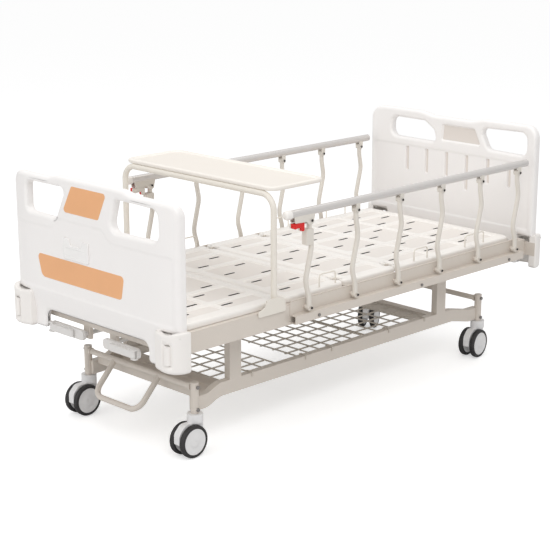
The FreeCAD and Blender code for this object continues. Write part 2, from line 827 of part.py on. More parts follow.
def guard_post(index):
    """A swaying tube with a flattened bored end at each pivot."""
    body = new_body("post_%d_profile" % index)
    x = guard_x(index)
    foot, top = S.guard_pivot, S.guard_pivot + S.guard_reach
    spine = sketch_on(body, "XZ_Plane", guard_outside)
    trace(spine, [
        (x, foot), (x, foot + 0.12 * S.guard_reach, 90),
        (x - S.guard_wave_low, foot + 0.31 * S.guard_reach, 90),
        (x + S.guard_wave_high, foot + 0.7 * S.guard_reach, 90),
        (x, foot + 0.9 * S.guard_reach, 90), (x, top)], closed=False)
    section = ring(sketch_on(body, "XY_Plane", foot), x, -guard_outside, S.guard_tube)
    sweep(body, section, spine)
    for height in (foot, top):
        boss = sketch_on(body, "XZ_Plane", guard_outside - boss_thick / 2)
        ring(boss, x, height, S.guard_boss)
        pad(body, boss, boss_thick)
    if index == 0:
        catch = sketch_on(body, "XZ_Plane", guard_outside - 13)
        trace(catch, rectangle((x - 26, top - 94), (x + 12, top - 32), 6))
        pad(body, catch, 26)
    bores = sketch_on(body, "XZ_Plane", 0)
    for height in (foot, top):
        ring(bores, x, height, S.guard_pin + 2 * S.fit_gap)
    pocket(body, bores)
    both_sides("guard_post_%d" % (index + 1), body)


handrail_level = S.guard_pivot + S.guard_reach + 19 + S.handrail_tube / 2


lever_pivot_x = -S.guard_first - 60
lever_pivot_z = S.guard_pivot + S.guard_reach + 8


def handrail():
    """A round tube with two ears and a pin over each post, and a cap on its foot end."""
    body = new_body("left_rail_profile")
    top = S.guard_pivot + S.guard_reach
    bar = sketch_on(body, "YZ_Plane", -S.handrail_foot)
    ring(bar, -guard_outside, handrail_level, S.handrail_tube)
    ring(bar, -guard_outside, handrail_level, S.handrail_tube - 2 * S.wall)
    pad(body, bar, S.handrail_foot + S.handrail_head)
    inner = guard_outside - boss_thick / 2 - S.fit_gap - ear_thick
    outer = guard_outside + boss_thick / 2 + S.fit_gap
    root = handrail_level - 9
    for lift in (inner, outer):
        ears = sketch_on(body, "XZ_Plane", lift)
        trace(ears, latch_cheek(guard_x(0), root, top))
        for index in GUARD_POSTS[1:]:
            x = guard_x(index)
            trace(ears, [(x - 11, root), (x - 11, top - 11, 9), (x + 11, top - 11, 9),
                         (x + 11, root)])
        pad(body, ears, ear_thick)
    pins = sketch_on(body, "XZ_Plane", inner)
    for index in GUARD_POSTS:
        ring(pins, guard_x(index), top, S.guard_pin)
    ring(pins, lever_pivot_x, lever_pivot_z, LEVER_PIN)
    pad(body, pins, outer - inner + ear_thick)
    cap = rail_cap()
    right = group_of("right_handrail_pair", mirrored("right_rail_copy", body),
                     mirrored("right_cap_copy", cap))
    node("left_handrail", group_of("left_handrail_pair", body, cap))
    node("right_handrail", right)


LEVER_PIN = 5


def latch_cheek(x, root, top):
    """The wide plate over the first post, long enough towards the foot for the lever."""
    return [(x - 92, root), (x - 88, top + 1, 4), (x - 26, top - 2, 10), (x - 13, top - 15, 8),
            (x + 11, top - 15, 9), (x + 20, root)]


def rail_cap():
    """A rounded plastic cap pushed over the foot end of the handrail."""
    body = new_body("left_rail_cap")
    wide = S.handrail_tube + 4
    disc = sketch_on(body, "YZ_Plane", -S.handrail_foot - 22)
    ring(disc, -guard_outside, handrail_level, wide)
    plain = pad(body, disc, 28)
    doc.recompute()
    ease(body, "Fillet", plain, end_rims(plain, wide, 0), 11)
    bore = sketch_on(body, "YZ_Plane", -S.handrail_foot - S.fit_gap)
    ring(bore, -guard_outside, handrail_level, S.handrail_tube + S.fit_gap)
    pocket(body, bore, 40, True)
    return body


def latch_lever():
    """An L-shaped lever that hangs between the cheeks: a finger bar and a short catch leg."""
    body = new_body("left_lever_profile")
    x, z = lever_pivot_x, lever_pivot_z
    blade = sketch_on(body, "XZ_Plane", guard_outside - boss_thick / 2)
    trace(blade, [
        (x - 8, z + 7, 5), (x - 8, z - 8, 2), (x - 38, z - 8, 3), (x - 38, z - 25, 6),
        (x - 24, z - 31, 6), (x + 8, z - 27, 3), (x + 11, z - 44, 5), (x + 25, z - 44, 5),
        (x + 26, z - 10, 4), (x + 8, z - 9, 2), (x + 8, z + 7, 5)])
    pad(body, blade, boss_thick)
    bore = sketch_on(body, "XZ_Plane", 0)
    ring(bore, x, z, LEVER_PIN + 2 * S.fit_gap)
    pocket(body, bore)
    both_sides("latch_lever", body)


# Head and foot boards

board_half = S.board_width / 2
LEG_INNER, LEG_OUTER = 306, 392


def board_blank(name, end, outline, holes):
    """A panel whose ends sweep back in plan, trimmed to its outline and cut for the hand grips."""
    body = new_body(name)
    plan = sketch_on(body, "XY_Plane", S.board_foot - 5)
    bend = board_half - 75
    tip = board_half - 4
    trace(plan, [
        (end * board_face, -bend, 200), (end * (board_face - S.board_sweep), -board_half, 12),
        (end * (board_back - S.board_sweep + 6), -tip, 8), (end * board_back, -bend, 150),
        (end * board_back, bend, 150), (end * (board_back - S.board_sweep + 6), tip, 8),
        (end * (board_face - S.board_sweep), board_half, 12), (end * board_face, bend, 200)])
    pad(body, plan, S.board_top - S.board_foot + 40)
    waste = sketch_on(body, "YZ_Plane", 0)
    trace(waste, rectangle((-board_half - 60, S.board_foot - 60),
                           (board_half + 60, S.board_top + 90)))
    trace(waste, outline)
    pocket(body, waste)
    grips = sketch_on(body, "YZ_Plane", 0)
    for hole in holes:
        trace(grips, hole)
    pocket(body, grips)
    return body


def board_outline(crown):
    """Legs below, a flat arch between them, and the given run along the top edge."""
    shoulder, arch, foot = S.board_shoulder, S.board_arch, S.board_foot
    left = [(-board_half, shoulder, 6), (-LEG_OUTER, shoulder), (-LEG_OUTER, foot, 14),
            (-LEG_INNER, foot, 14), (-LEG_INNER, arch, 26)]
    right = [(-y, *rest) for y, *rest in reversed(left)]
    return left + right + crown


def board_hooks(name, end):
    """Two hooks behind a board that rest on the end tube of the frame."""
    hooks = []
    for side_name, side in SIDES.items():
        level = rail_low + 56 + S.fit_gap
        spans = sorted((end * board_back, end * (board_back - 32)), key=float)
        across = sorted((side * (LEG_INNER + 24), side * (LEG_OUTER - 22)), key=float)
        hooks.append(block("%s_%s_hook" % (name, side_name), spans, across, (level, level + 10)))
    return hooks


def shrunk(outline, gap):
    """The same rounded outline, moved inwards by a gap all round."""
    points = [Vector(float(y), float(z), 0) for y, z, _ in outline]
    middle = sum(points, Vector()) * (1 / len(points))
    moved = []
    for i, (y, z, radius) in enumerate(outline):
        ways = [(points[i] - points[i - 1]).normalize(),
                (points[(i + 1) % len(points)] - points[i]).normalize()]
        normals = [Vector(-way.y, way.x, 0) for way in ways]
        if normals[0].dot(middle - points[i]) < 0:
            normals = [-normal for normal in normals]
        both = normals[0] + normals[1]
        shift = both * (gap / (1 + normals[0].dot(normals[1])))
        moved.append((y + shift.x, z + shift.y, radius))
    return moved


def footboard():
    top = S.board_top
    crown = [(board_half, top - 13, 45), (250, top - 13, 120), (195, top, 120),
             (-195, top, 120), (-250, top - 13, 120), (-board_half, top - 13, 45)]
    holes = [
        [(142, top - 41, 20), (388, top - 43, 26), (391, top - 163, 26), (207, top - 167, 30)],
        [(-150, top - 41, 20), (-388, top - 43, 30), (-388, top - 161, 28), (-112, top - 165, 30)]]
    body = board_blank("footboard_blank", FOOT, board_outline(crown), holes)
    upper = [(99, top - 27, 12), (-108, top - 27, 12), (-56, top - 132, 12), (158, top - 132, 12)]
    lower = [(332, top - 320, 16), (306, top - 411, 26), (-177, top - 411, 16),
             (-195, top - 320, 16)]
    plates = []
    for name, outline in (("upper_inlay", upper), ("lower_inlay", lower)):
        recess = sketch_on(body, "YZ_Plane", -board_face)
        trace(recess, outline)
        pocket(body, recess, 2, True)
        plate = new_body(name)
        trace(sketch_on(plate, "YZ_Plane", -board_face + 0.2), shrunk(outline, S.fit_gap.value))
        pad(plate, plate.Group[-1], 1.8)
        plates.append(plate)
    hooks = board_hooks("foot", FOOT)
    node("footboard_panel", fuse("footboard_solid", body, *hooks))
    node("footboard_inlays", *plates)


def card_holder():
    """A clear pocket for a name card on the foot board."""
    body = new_body("card_holder")
    low, high = S.board_top - 311, S.board_top - 243
    near, far = 8, 158
    shell = sketch_on(body, "YZ_Plane", -board_face - 6)
    trace(shell, [(near, low, 6), (far, low, 6), (far, high, 6), (far - 22, high, 4),
                  (far - 28, high + 12, 8), (far - 50, high + 12, 8), (far - 56, high, 4),
                  (near + 56, high, 4), (near + 50, high + 12, 8), (near + 28, high + 12, 8),
                  (near + 22, high, 4), (near, high, 6)])
    pad(body, shell, 6)
    pouch = sketch_on(body, "YZ_Plane", -board_face - 4.5)
    trace(pouch, rectangle((near + 3, low + 3), (far - 3, high + 1)))
    pocket(body, pouch, 3, True)
    node("card_holder", body)


def headboard():
    top = S.board_top + 16
    crown = [(board_half, top, 55), (185, top, 120), (115, top - 15, 120),
             (-115, top - 15, 120), (-185, top, 120), (-board_half, top, 55)]
    holes = [
        [(366, top - 44, 34), (166, top - 46, 40), (108, top - 82, 40), (94, top - 138, 20),
         (366, top - 136, 34)],
        [(-160, top - 42, 24), (-426, top - 36, 34), (-426, top - 140, 34),
         (-210, top - 136, 34)]]
    body = board_blank("headboard_blank", HEAD, board_outline(crown), holes)
    flutes = sketch_on(body, "YZ_Plane", board_back)
    for y in (-333, -212, -90, 28, 147, 266):
        low = top - (343 if y == -90 else 295)
        trace(flutes, rectangle((y - 8, low), (y + 8, top - 176), 7.5))
    pocket(body, flutes, 6, True)
    hooks = board_hooks("head", HEAD)
    node("headboard_panel", fuse("headboard_solid", body, *hooks))


# Corner covers with their bumper rollers

COVER_FACE = 26
COVER_INNER = 374
COVER_SIDE = 504
COVER_BEND = 62
BUMPER_SIDE = 450
cover_face = board_face + COVER_FACE
bumper_level = S.cover_low + 30
bumper_x = cover_face - 9


def corner_cover(name, end):
    """An L-shaped moulding round the frame corner, open where the bumper roller shows."""
    body = new_body(name)
    wall = S.cover_wall
    plan = sketch_on(body, "XY_Plane", S.cover_low)
    lip = cover_face - 18
    trace(plan, [
        (end * lip, -COVER_INNER), (end * cover_face, -COVER_INNER - 52, 60),
        (end * cover_face, -COVER_SIDE, COVER_BEND), (end * S.rail_reach, -COVER_SIDE),
        (end * S.rail_reach, wall - COVER_SIDE),
        (end * (cover_face - wall), wall - COVER_SIDE, COVER_BEND - wall),
        (end * (cover_face - wall), -COVER_INNER - 52, 60 + wall),
        (end * (lip - wall), -COVER_INNER)])
    pad(body, plan, S.cover_top - S.cover_low)
    dip = sketch_on(body, "YZ_Plane", 0)
    trace(dip, [(-COVER_INNER + 20, S.cover_top + 20), (-COVER_INNER + 20, S.cover_top - 8),
                (-COVER_INNER - 62, S.cover_top - 22, 90), (-COVER_SIDE - 10, S.cover_top + 2),
                (-COVER_SIDE - 10, S.cover_top + 20)])
    pocket(body, dip)
    half = S.bumper_diameter / 2 + 4
    window = sketch_on(body, "YZ_Plane", end * (cover_face + 1))
    trace(window, rectangle((-BUMPER_SIDE - half, bumper_level - 4),
                            (-BUMPER_SIDE + half, bumper_level + S.bumper_high + 4), 5))
    pocket(body, window, 2 * wall, end < 0)
    for low in (bumper_level - 8, bumper_level + S.bumper_high + 4):
        tab = sketch_on(body, "XY_Plane", low)
        spans = sorted((end * (cover_face - wall + 1), end * (bumper_x - 10)), key=float)
        trace(tab, rectangle((spans[0], -BUMPER_SIDE - 9), (spans[1], -BUMPER_SIDE + 9)))
        pad(body, tab, 4)
    pin = sketch_on(body, "XY_Plane", bumper_level - 6)
    ring(pin, end * bumper_x, -BUMPER_SIDE, 5)
    pad(body, pin, S.bumper_high + 12)
    return body


def corner_covers():
    left = [corner_cover(name + "_left_cover", end) for name, end in ENDS.items()]
    right = [mirrored(cover.Name.replace("left", "right"), cover) for cover in left]
    node("corner_covers", *left, *right)


def bumper_rollers():
    for end_name, end in ENDS.items():
        body = new_body(end_name + "_roller_profile")
        face = sketch_on(body, "XY_Plane", bumper_level + 1)
        ring(face, end * bumper_x, -BUMPER_SIDE, S.bumper_diameter)
        ring(face, end * bumper_x, -BUMPER_SIDE, 5 + 2 * S.fit_gap)
        pad(body, face, S.bumper_high - 2)
        right = mirrored(end_name + "_right_roller_copy", body)
        node(end_name + "_left_bumper", body)
        node(end_name + "_right_bumper", right)


CORNER_LONG = 13


def frame_brackets():
    """Corner blocks behind the covers, hangers of the crank shafts, bushes of the brake bars."""
    pieces = []
    for end_name, end in ENDS.items():
        for side_name, side in SIDES.items():
            spans = sorted((end * S.rail_reach, end * (S.rail_reach + CORNER_LONG)), key=float)
            across = sorted((side * rail_inside, side * (COVER_SIDE - S.cover_wall)), key=float)
            pieces.append(block("%s_%s_corner" % (end_name, side_name), spans, across,
                                (rail_low + 10, S.rail_top - 10)))
            start = side * base_outside - side * (S.post_diameter / 2 + 9)
            bush = rod("%s_%s_bush" % (end_name, side_name), S.brake_tube + 6, 9 - 0.1,
                       (end * S.caster_reach, start if side > 0 else start - 8.9,
                        S.brake_axis), "y")
            hole = rod("%s_%s_bush_bore" % (end_name, side_name), 12 + 2 * S.fit_gap, 40,
                       (end * S.caster_reach, start - 20, S.brake_axis), "y")
            pieces.append(cut("%s_%s_brake_bush" % (end_name, side_name), bush, hole))
    for name, middle in (("back", S.back_crank_side), ("knee", -S.knee_crank_side)):
        hanger = block(name + "_hanger_plate", (-S.rail_reach + 6, -S.rail_reach + 20),
                       (middle - 20, middle + 20), (S.crank_axis - 20, rail_low - 4))
        hole = rod(name + "_hanger_bore", S.shaft_diameter + 2 * S.fit_gap, 60,
                   (-S.rail_reach - 10, middle, S.crank_axis), "x")
        pieces.append(cut(name + "_hanger", hanger, hole))
    node("frame_brackets", *pieces)


# Cranks and the push tubes of the deck

SHAFT_HEAD = -420
ARM_FACE = -board_back - 2
GRIP_THICK = 15


def crank(name, middle, side):
    """The long shaft, the flat arm on it and the two ears that hold the folded grip."""
    shaft = rod(name + "_shaft", S.shaft_diameter, SHAFT_HEAD - ARM_FACE,
                (ARM_FACE, middle, S.crank_axis), "x")
    body = new_body(name + "_arm")
    far = middle + side * S.crank_arm
    arm = sketch_on(body, "YZ_Plane", ARM_FACE - 14)
    ends = sorted((middle - side * 20, far + side * 16), key=float)
    trace(arm, rectangle((ends[0], S.crank_axis - 20), (ends[1], S.crank_axis + 20), 14))
    pad(body, arm, 14)
    for low in (-20, 14.5):
        ear = sketch_on(body, "XY_Plane", S.crank_axis + low)
        near, tip = sorted((far - side * 14, far + side * 14), key=float), ARM_FACE - 13
        trace(ear, [(tip, near[0]), (tip, near[1]), (tip - GRIP_THICK - 2, near[1], 8),
                    (tip - GRIP_THICK - 2, near[0], 8)])
        pad(body, ear, 5.5)
    pin = sketch_on(body, "XY_Plane", S.crank_axis - 18)
    ring(pin, ARM_FACE - 13 - GRIP_THICK / 2 - 1, far, 6)
    pad(body, pin, 36)
    node(name + "_crank", fuse(name + "_crank_solid", shaft, body))


def crank_grip(name, middle, side):
    body = new_body(name + "_grip_profile")
    far = middle + side * S.crank_arm
    x = ARM_FACE - 14 - GRIP_THICK / 2
    outline = sketch_on(body, "XY_Plane", S.crank_axis - 14)
    near = middle + side * 34
    tips = sorted((near, far + side * 7), key=float)
    trace(outline, rectangle((x - GRIP_THICK / 2 + 0.4, tips[0]),
                             (x + GRIP_THICK / 2 - 0.4, tips[1]), 6.9))
    pad(body, outline, 28)
    bore = sketch_on(body, "XY_Plane", 0)
    ring(bore, x, far, 6 + 2 * S.fit_gap)
    pocket(body, bore)
    node(name + "_crank_grip", body)


def push_tube(name, middle, hinge_x, lean):
    """A tube over the crank shaft with a slotted plate that moves the push pin of a deck."""
    pin_x = hinge_x - lean * S.lever_long * math.sin(math.radians(LEVER_SWING[name]))
    slot_high = S.lever_long * (1 - math.cos(math.radians(LEVER_SWING[name])))
    body = new_body(name + "_tube_profile")
    start = -640 if lean > 0 else -440
    face = sketch_on(body, "YZ_Plane", start)
    ring(face, middle, S.crank_axis, S.shaft_diameter + 12)
    ring(face, middle, S.crank_axis, S.shaft_diameter + 2 * S.fit_gap)
    length = pin_x - 24 - start
    pad(body, face, length)
    low = hinge_level - S.lever_long
    plate = sketch_on(body, "XZ_Plane", -middle - 12)
    trace(plate, rectangle((pin_x - 30, low - 16), (pin_x + 20, low + slot_high + 16), 6))
    trace(plate, rectangle((pin_x - 10, low - 9), (pin_x + 10, low + slot_high + 9), 5))
    pad(body, plate, 24)
    return body


LEVER_SWING = {"back": 37.5, "knee": 20}


def lift_lever(name, middle, hinge_x, lean):
    """Two flat arms under a deck panel with the push pin between their lower ends."""
    swing = math.radians(LEVER_SWING[name])
    pin_x = hinge_x - lean * S.lever_long * math.sin(swing)
    pin_z = hinge_level - S.lever_long * math.cos(swing)
    root = hinge_x + lean * 20
    rise = Vector(float(root - pin_x), 0, float(deck_low - pin_z)).normalize()
    aside = Vector(-rise.z, 0, rise.x) * (lean * 10)
    end_x, end_z = pin_x - rise.x * 10, pin_z - rise.z * 10
    body = new_body(name + "_lever_profile")
    for offset in (-22, 17):
        arm = sketch_on(body, "XZ_Plane", -middle + offset)
        trace(arm, [
            (end_x + aside.x, end_z + aside.z, 9), (end_x - aside.x, end_z - aside.z, 9),
            (root + lean * 14, deck_low), (root - lean * 14, deck_low)])
        pad(body, arm, 5)
    pin = sketch_on(body, "XZ_Plane", -middle - 20)
    ring(pin, pin_x, pin_z, S.lever_pin)
    pad(body, pin, 40)
    return body


# Brakes

def brake_bar(name, end, with_pedal):
    """A cross tube on two end pins, with a bent pedal loop at the foot end."""
    body = new_body(name)
    reach = base_outside - S.post_diameter / 2
    bar = sketch_on(body, "XZ_Plane", -reach + 9 + S.fit_gap)
    ring(bar, 0, 0, S.brake_tube)
    pad(body, bar, 2 * (reach - 9 - S.fit_gap))
    pins = sketch_on(body, "XZ_Plane", -reach + S.fit_gap)
    ring(pins, 0, 0, 12)
    pad(body, pins, 2 * (reach - S.fit_gap))
    if with_pedal:
        loop = sketch_on(body, "XY_Plane", 0)
        trace(loop, [(-2, 149), (-S.pedal_long, 149, 48), (-S.pedal_long, -120, 48), (-2, -120)],
              closed=False)
        section = ring(sketch_on(body, "YZ_Plane", -2), 149, 0, S.brake_tube)
        sweep(body, section, loop)
    slope = Rotation(Vector(0, 1, 0), -float(S.pedal_slope)) if with_pedal else Rotation()
    place(body, (end * S.caster_reach, 0, S.brake_axis), slope)
    node(name, body)


# Luggage trays between the base rails

TRAY_SPANS = ((-696, -392), (-272, 128), (136, 530))
HOOK_THICK = 4
tray_half = base_inside - S.fit_gap - HOOK_THICK
HOOK_PLACES = (-560, -262, -108, 246, 480)


def mesh_trays():
    """Crossed wires in three trays, and the bent hooks that hang them on the rails."""
    pieces = []
    level = S.mesh_level
    for number, (low, high) in enumerate(TRAY_SPANS):
        across = int((high - low) // S.mesh_pitch.value)
        along = int(2 * tray_half.value // S.mesh_pitch.value)
        for i in range(along + 1):
            y = (2 * i / along - 1) * (tray_half - S.mesh_wire / 2)
            pieces.append(block("tray_%d_long_%d" % (number, i), (low, high),
                                (y - S.mesh_wire / 2, y + S.mesh_wire / 2),
                                (level, level + S.mesh_wire)))
        for i in range(across + 1):
            x = (low + high) / 2 + (i / across - 0.5) * (high - low - S.mesh_wire)
            pieces.append(block("tray_%d_cross_%d" % (number, i),
                                (x - S.mesh_wire / 2, x + S.mesh_wire / 2),
                                (-tray_half, tray_half),
                                (level + S.mesh_wire, level + 2 * S.mesh_wire)))
    hooks = [tray_hook("hook_%d" % number, x) for number, x in enumerate(HOOK_PLACES)]
    hooks += [mirrored(hook.Name + "_copy", hook) for hook in hooks]
    node("mesh_trays", *pieces, *hooks)


def tray_hook(name, x):
    body = new_body(name)
    side = sketch_on(body, "YZ_Plane", x - 4)
    top = S.base_rail_top + S.fit_gap
    outer = base_outside + S.fit_gap
    inner = base_inside - S.fit_gap
    trace(side, [
        (-inner, S.mesh_level), (-inner, top), (-outer, top), (-outer, top - 14),
        (-outer - HOOK_THICK, top - 14), (-outer - HOOK_THICK, top + HOOK_THICK, 4),
        (-inner + HOOK_THICK, top + HOOK_THICK, 4), (-inner + HOOK_THICK, S.mesh_level)])
    pad(body, side, 8)
    return body


# Over-bed table

bracket_foot = -S.table_leg_place - 95
bracket_head = -S.table_leg_place + 48
leg_seat = S.rail_top + 12
GATE_BEND = 60
ARM_SIDE = 250
ARM_HIGH = 12


def table_brackets():
    """A rounded cheek outside the rail and a bored block on top of it for the table leg."""
    body = new_body("left_table_bracket")
    cheek_side = S.table_leg_side + S.table_tube / 2 + S.fit_gap
    cheek = sketch_on(body, "XZ_Plane", cheek_side)
    trace(cheek, [
        (bracket_foot, S.rail_top - 16, 6), (bracket_head, S.rail_top - 16, 6),
        (bracket_head, S.rail_top + 46, 34), (bracket_foot + 46, S.rail_top + 46, 30),
        (bracket_foot + 34, S.rail_top + 16, 20), (bracket_foot, S.rail_top + 6, 5)])
    pad(body, cheek, 3)
    saddle = sketch_on(body, "XY_Plane", S.rail_top + S.fit_gap)
    trace(saddle, rectangle((-S.table_leg_place - 30, -cheek_side - 1),
                            (-S.table_leg_place + 40, -S.deck_width / 2 - 1.5)))
    pad(body, saddle, 34)
    socket = sketch_on(body, "XY_Plane", leg_seat)
    ring(socket, -S.table_leg_place, -S.table_leg_side, S.table_tube - 8)
    pocket(body, socket, 60, True)
    node("table_brackets", body, mirrored("right_table_bracket", body))


def table_frame():
    """One tube bent into a gate over the bed, with a spigot in each bracket and two arms."""
    body = new_body("table_gate")
    seat = S.rail_top + 34 + 2 * S.fit_gap
    top = S.table_top_level - S.table_tube / 2 - S.fit_gap
    spine = sketch_on(body, "YZ_Plane", -S.table_leg_place)
    trace(spine, [(-S.table_leg_side, seat), (-S.table_leg_side, top, GATE_BEND),
                  (S.table_leg_side, top, GATE_BEND), (S.table_leg_side, seat)], closed=False)
    section = ring(sketch_on(body, "XY_Plane", seat), -S.table_leg_place,
                   -S.table_leg_side, S.table_tube)
    sweep(body, section, spine)
    spigots = sketch_on(body, "XY_Plane", leg_seat + S.fit_gap)
    for side in SIDES.values():
        ring(spigots, -S.table_leg_place, side * S.table_leg_side,
             S.table_tube - 8 - 2 * S.fit_gap)
    pad(body, spigots, 30)
    arms = sketch_on(body, "XY_Plane", S.table_top_level - S.fit_gap - ARM_HIGH)
    for side in SIDES.values():
        middle = side * ARM_SIDE
        trace(arms, rectangle((-S.table_leg_place - 6, middle - 13),
                              (-S.table_leg_place + S.table_long - 60, middle + 13), 6))
    pad(body, arms, ARM_HIGH)
    node("table_frame", body)


def table_top():
    """A shallow tray with a raised rim."""
    body = new_body("table_top")
    low, high = -S.table_leg_place - 6, -S.table_leg_place + S.table_long - 6
    half = S.table_wide / 2
    plan = sketch_on(body, "XY_Plane", S.table_top_level)
    trace(plan, rectangle((low, -half), (high, half), 46))
    pad(body, plan, S.table_thick)
    well = sketch_on(body, "XY_Plane", S.table_top_level + S.table_thick)
    trace(well, rectangle((low + 16, 16 - half), (high - 16, half - 16), 32))
    pocket(body, well, 5)
    node("table_top", body)


# Fasteners

def hex_head(name, across, thick, spot, turn):
    piece = doc.addObject("Part::Prism", name)
    piece.Polygon = 6
    piece.Circumradius = across / 2
    piece.Height = thick
    return place(piece, spot, turn)


def frame_bolts():
    """Hexagon heads on the caster tubes and along the rail channels."""
    pieces = []
    outward = Rotation(Vector(1, 0, 0), 90)
    for end_name, end in ENDS.items():
        for level_name, level in (("low", S.post_foot + 15), ("high", S.post_foot + 104)):
            pieces.append(hex_head("%s_%s_post_bolt" % (end_name, level_name), 15, 6,
                                   (end * S.caster_reach, -base_outside - S.post_diameter / 2,
                                    level), outward))
    for number, x in enumerate((-348, 269, 869)):
        pieces.append(hex_head("channel_bolt_%d" % number, 13, 5,
                               (x, -rail_outside - S.fit_gap - S.strip_deep,
                                S.channel_low + 14), outward))
    copies = [mirrored(piece.Name + "_copy", piece) for piece in pieces]
    node("frame_bolts", *pieces, *copies)


# Build everything and write the nodes

base_rails()
base_end_arms()
base_cross_beams()
caster_posts()
frame_columns()
for corner_name in CASTER_HEADINGS:
    caster_fork(corner_name)
    caster_wheels(corner_name)
main_side_rails()
main_cross_members()
seat_deck()
back_deck()
thigh_deck()
calf_deck()
rail_channel()
for post_number in GUARD_POSTS:
    guard_post(post_number)
handrail()
latch_lever()
footboard()
card_holder()
headboard()
corner_covers()
bumper_rollers()
frame_brackets()
for crank_name, crank_middle, crank_side in (("back", S.back_crank_side, RIGHT),
                                             ("knee", -S.knee_crank_side, LEFT)):
    crank(crank_name, crank_middle, crank_side)
    crank_grip(crank_name, crank_middle, crank_side)
node("back_push_tube", push_tube("back", S.back_crank_side, S.back_seam, 1))
node("knee_push_tube", push_tube("knee", -S.knee_crank_side, -S.thigh_seam, -1))
brake_bar("foot_brake_bar", FOOT, True)
brake_bar("head_brake_bar", HEAD, False)
mesh_trays()
table_brackets()
table_frame()
table_top()
frame_bolts()

doc.recompute()
for item in doc.Objects:
    if "Invalid" in item.State or "Error" in item.State:
        raise RuntimeError("%s failed: %s" % (item.Label, item.State))
os.makedirs("parts", exist_ok=True)
for group in nodes:
    if group.Shape.isNull() or not group.Shape.isValid():
        raise RuntimeError("%s has no valid shape" % group.Label)
    group.Shape.exportStep("parts/%s.step" % group.Label)
    print(group.Label, len(group.Shape.Solids), round(group.Shape.Volume))
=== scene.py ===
import bpy
import bmesh
import math
import numpy
from mathutils import Matrix, Vector
from mathutils.geometry import area_tri, delaunay_2d_cdt


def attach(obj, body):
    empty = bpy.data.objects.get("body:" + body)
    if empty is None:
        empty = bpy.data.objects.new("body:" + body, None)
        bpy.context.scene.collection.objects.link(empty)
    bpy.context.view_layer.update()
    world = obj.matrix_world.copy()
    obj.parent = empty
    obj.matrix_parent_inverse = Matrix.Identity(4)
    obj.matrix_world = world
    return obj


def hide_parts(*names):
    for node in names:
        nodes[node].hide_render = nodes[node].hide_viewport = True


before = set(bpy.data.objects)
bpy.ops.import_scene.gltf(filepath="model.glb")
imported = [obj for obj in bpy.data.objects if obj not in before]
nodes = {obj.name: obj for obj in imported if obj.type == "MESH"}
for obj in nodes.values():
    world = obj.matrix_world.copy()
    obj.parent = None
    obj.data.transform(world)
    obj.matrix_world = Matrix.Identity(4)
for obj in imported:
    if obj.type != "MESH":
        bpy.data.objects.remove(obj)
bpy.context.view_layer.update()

MM = 0.001
MICRON = 1e-6
SIDES = {"left": -1, "right": 1}
ENDS = {"foot": -1, "head": 1}


# Materials

def linear(code):
    """An sRGB hex value as linear RGBA."""
    channels = [int(code[i:i + 2], 16) / 255 for i in (1, 3, 5)]
    return [c / 12.92 if c <= 0.04045 else ((c + 0.055) / 1.055) ** 2.4 for c in channels] + [1.0]


def add(tree, kind, links=None, **settings):
    """One node with its settings; links maps its input names to other nodes' outputs."""
    node = tree.nodes.new("ShaderNode" + kind)
    for key, value in settings.items():
        if hasattr(node, key):
            setattr(node, key, value)
        else:
            node.inputs[key.replace("_", " ")].default_value = value
    for key, source in (links or {}).items():
        tree.links.new(source, node.inputs[key])
    return node


BLOTCHES_PER_METRE = 7.0
GLOSSIER, DULLER = 0.92, 1.1


def surface(name, code, roughness, metallic=0.0, ior=1.5, grain_mm=1.0, bump_um=20,
            mottle=0.03, coat=0.0, stretch=(1, 1, 1)):
    """A finish with its own fine relief and a slight unevenness of colour and gloss."""
    made = bpy.data.materials.new(name)
    made.use_nodes = True
    tree = made.node_tree
    shader = tree.nodes["Principled BSDF"]
    shader.inputs["Metallic"].default_value = metallic
    shader.inputs["Coat Weight"].default_value = coat
    if metallic < 0.5:
        shader.inputs["IOR"].default_value = ior
    place = add(tree, "TexCoord")
    scaled = add(tree, "Mapping", {"Vector": place.outputs["Object"]}, Scale=stretch)
    fine = add(tree, "TexNoise", {"Vector": scaled.outputs["Vector"]},
               Scale=1 / (grain_mm * MM), Detail=3.0, Roughness=0.6)
    broad = add(tree, "TexNoise", {"Vector": place.outputs["Object"]}, Scale=BLOTCHES_PER_METRE,
                Detail=2.0)
    base = linear(code)
    dark = [c * (1 - mottle) for c in base[:3]] + [1.0]
    tint = add(tree, "Mix", {"Factor": broad.outputs["Fac"]}, data_type="RGBA")
    tint.inputs[6].default_value = base
    tint.inputs[7].default_value = dark
    tree.links.new(tint.outputs[2], shader.inputs["Base Color"])
    gloss = add(tree, "MapRange", {"Value": broad.outputs["Fac"]},
                To_Min=roughness * GLOSSIER, To_Max=min(roughness * DULLER, 1.0))
    tree.links.new(gloss.outputs["Result"], shader.inputs["Roughness"])
    relief = add(tree, "Bump", {"Height": fine.outputs["Fac"]}, Strength=0.5,
                 Distance=bump_um * MICRON)
    tree.links.new(relief.outputs["Normal"], shader.inputs["Normal"])
    return made


# Baked enamel on steel tube: a faint orange peel about 1.5 mm across under a soft gloss.
frame_enamel = surface("frame_enamel", "#D9D0C6", 0.38, grain_mm=1.5, bump_um=18)
# The lighter cream enamel of the gate and its brackets, from the same spray line.
table_enamel = surface("table_enamel", "#EAE4DA", 0.36, grain_mm=1.5, bump_um=16)
# Blow-moulded polyethylene: clean satin white with a very fine moulded skin.
board_polyethylene = surface("board_polyethylene", "#F5F2F0", 0.36, ior=1.54, grain_mm=0.8,
                             bump_um=10, mottle=0.012)
# The deepest fields of the headboard, sand-textured in the mould and so duller, and painted
# darker and warmer as shade in these recesses.
board_grain_and_shade = surface("board_grain_and_shade", "#E4DCD5", 0.55, ior=1.54, grain_mm=0.8, bump_um=30,
                      mottle=0.02)
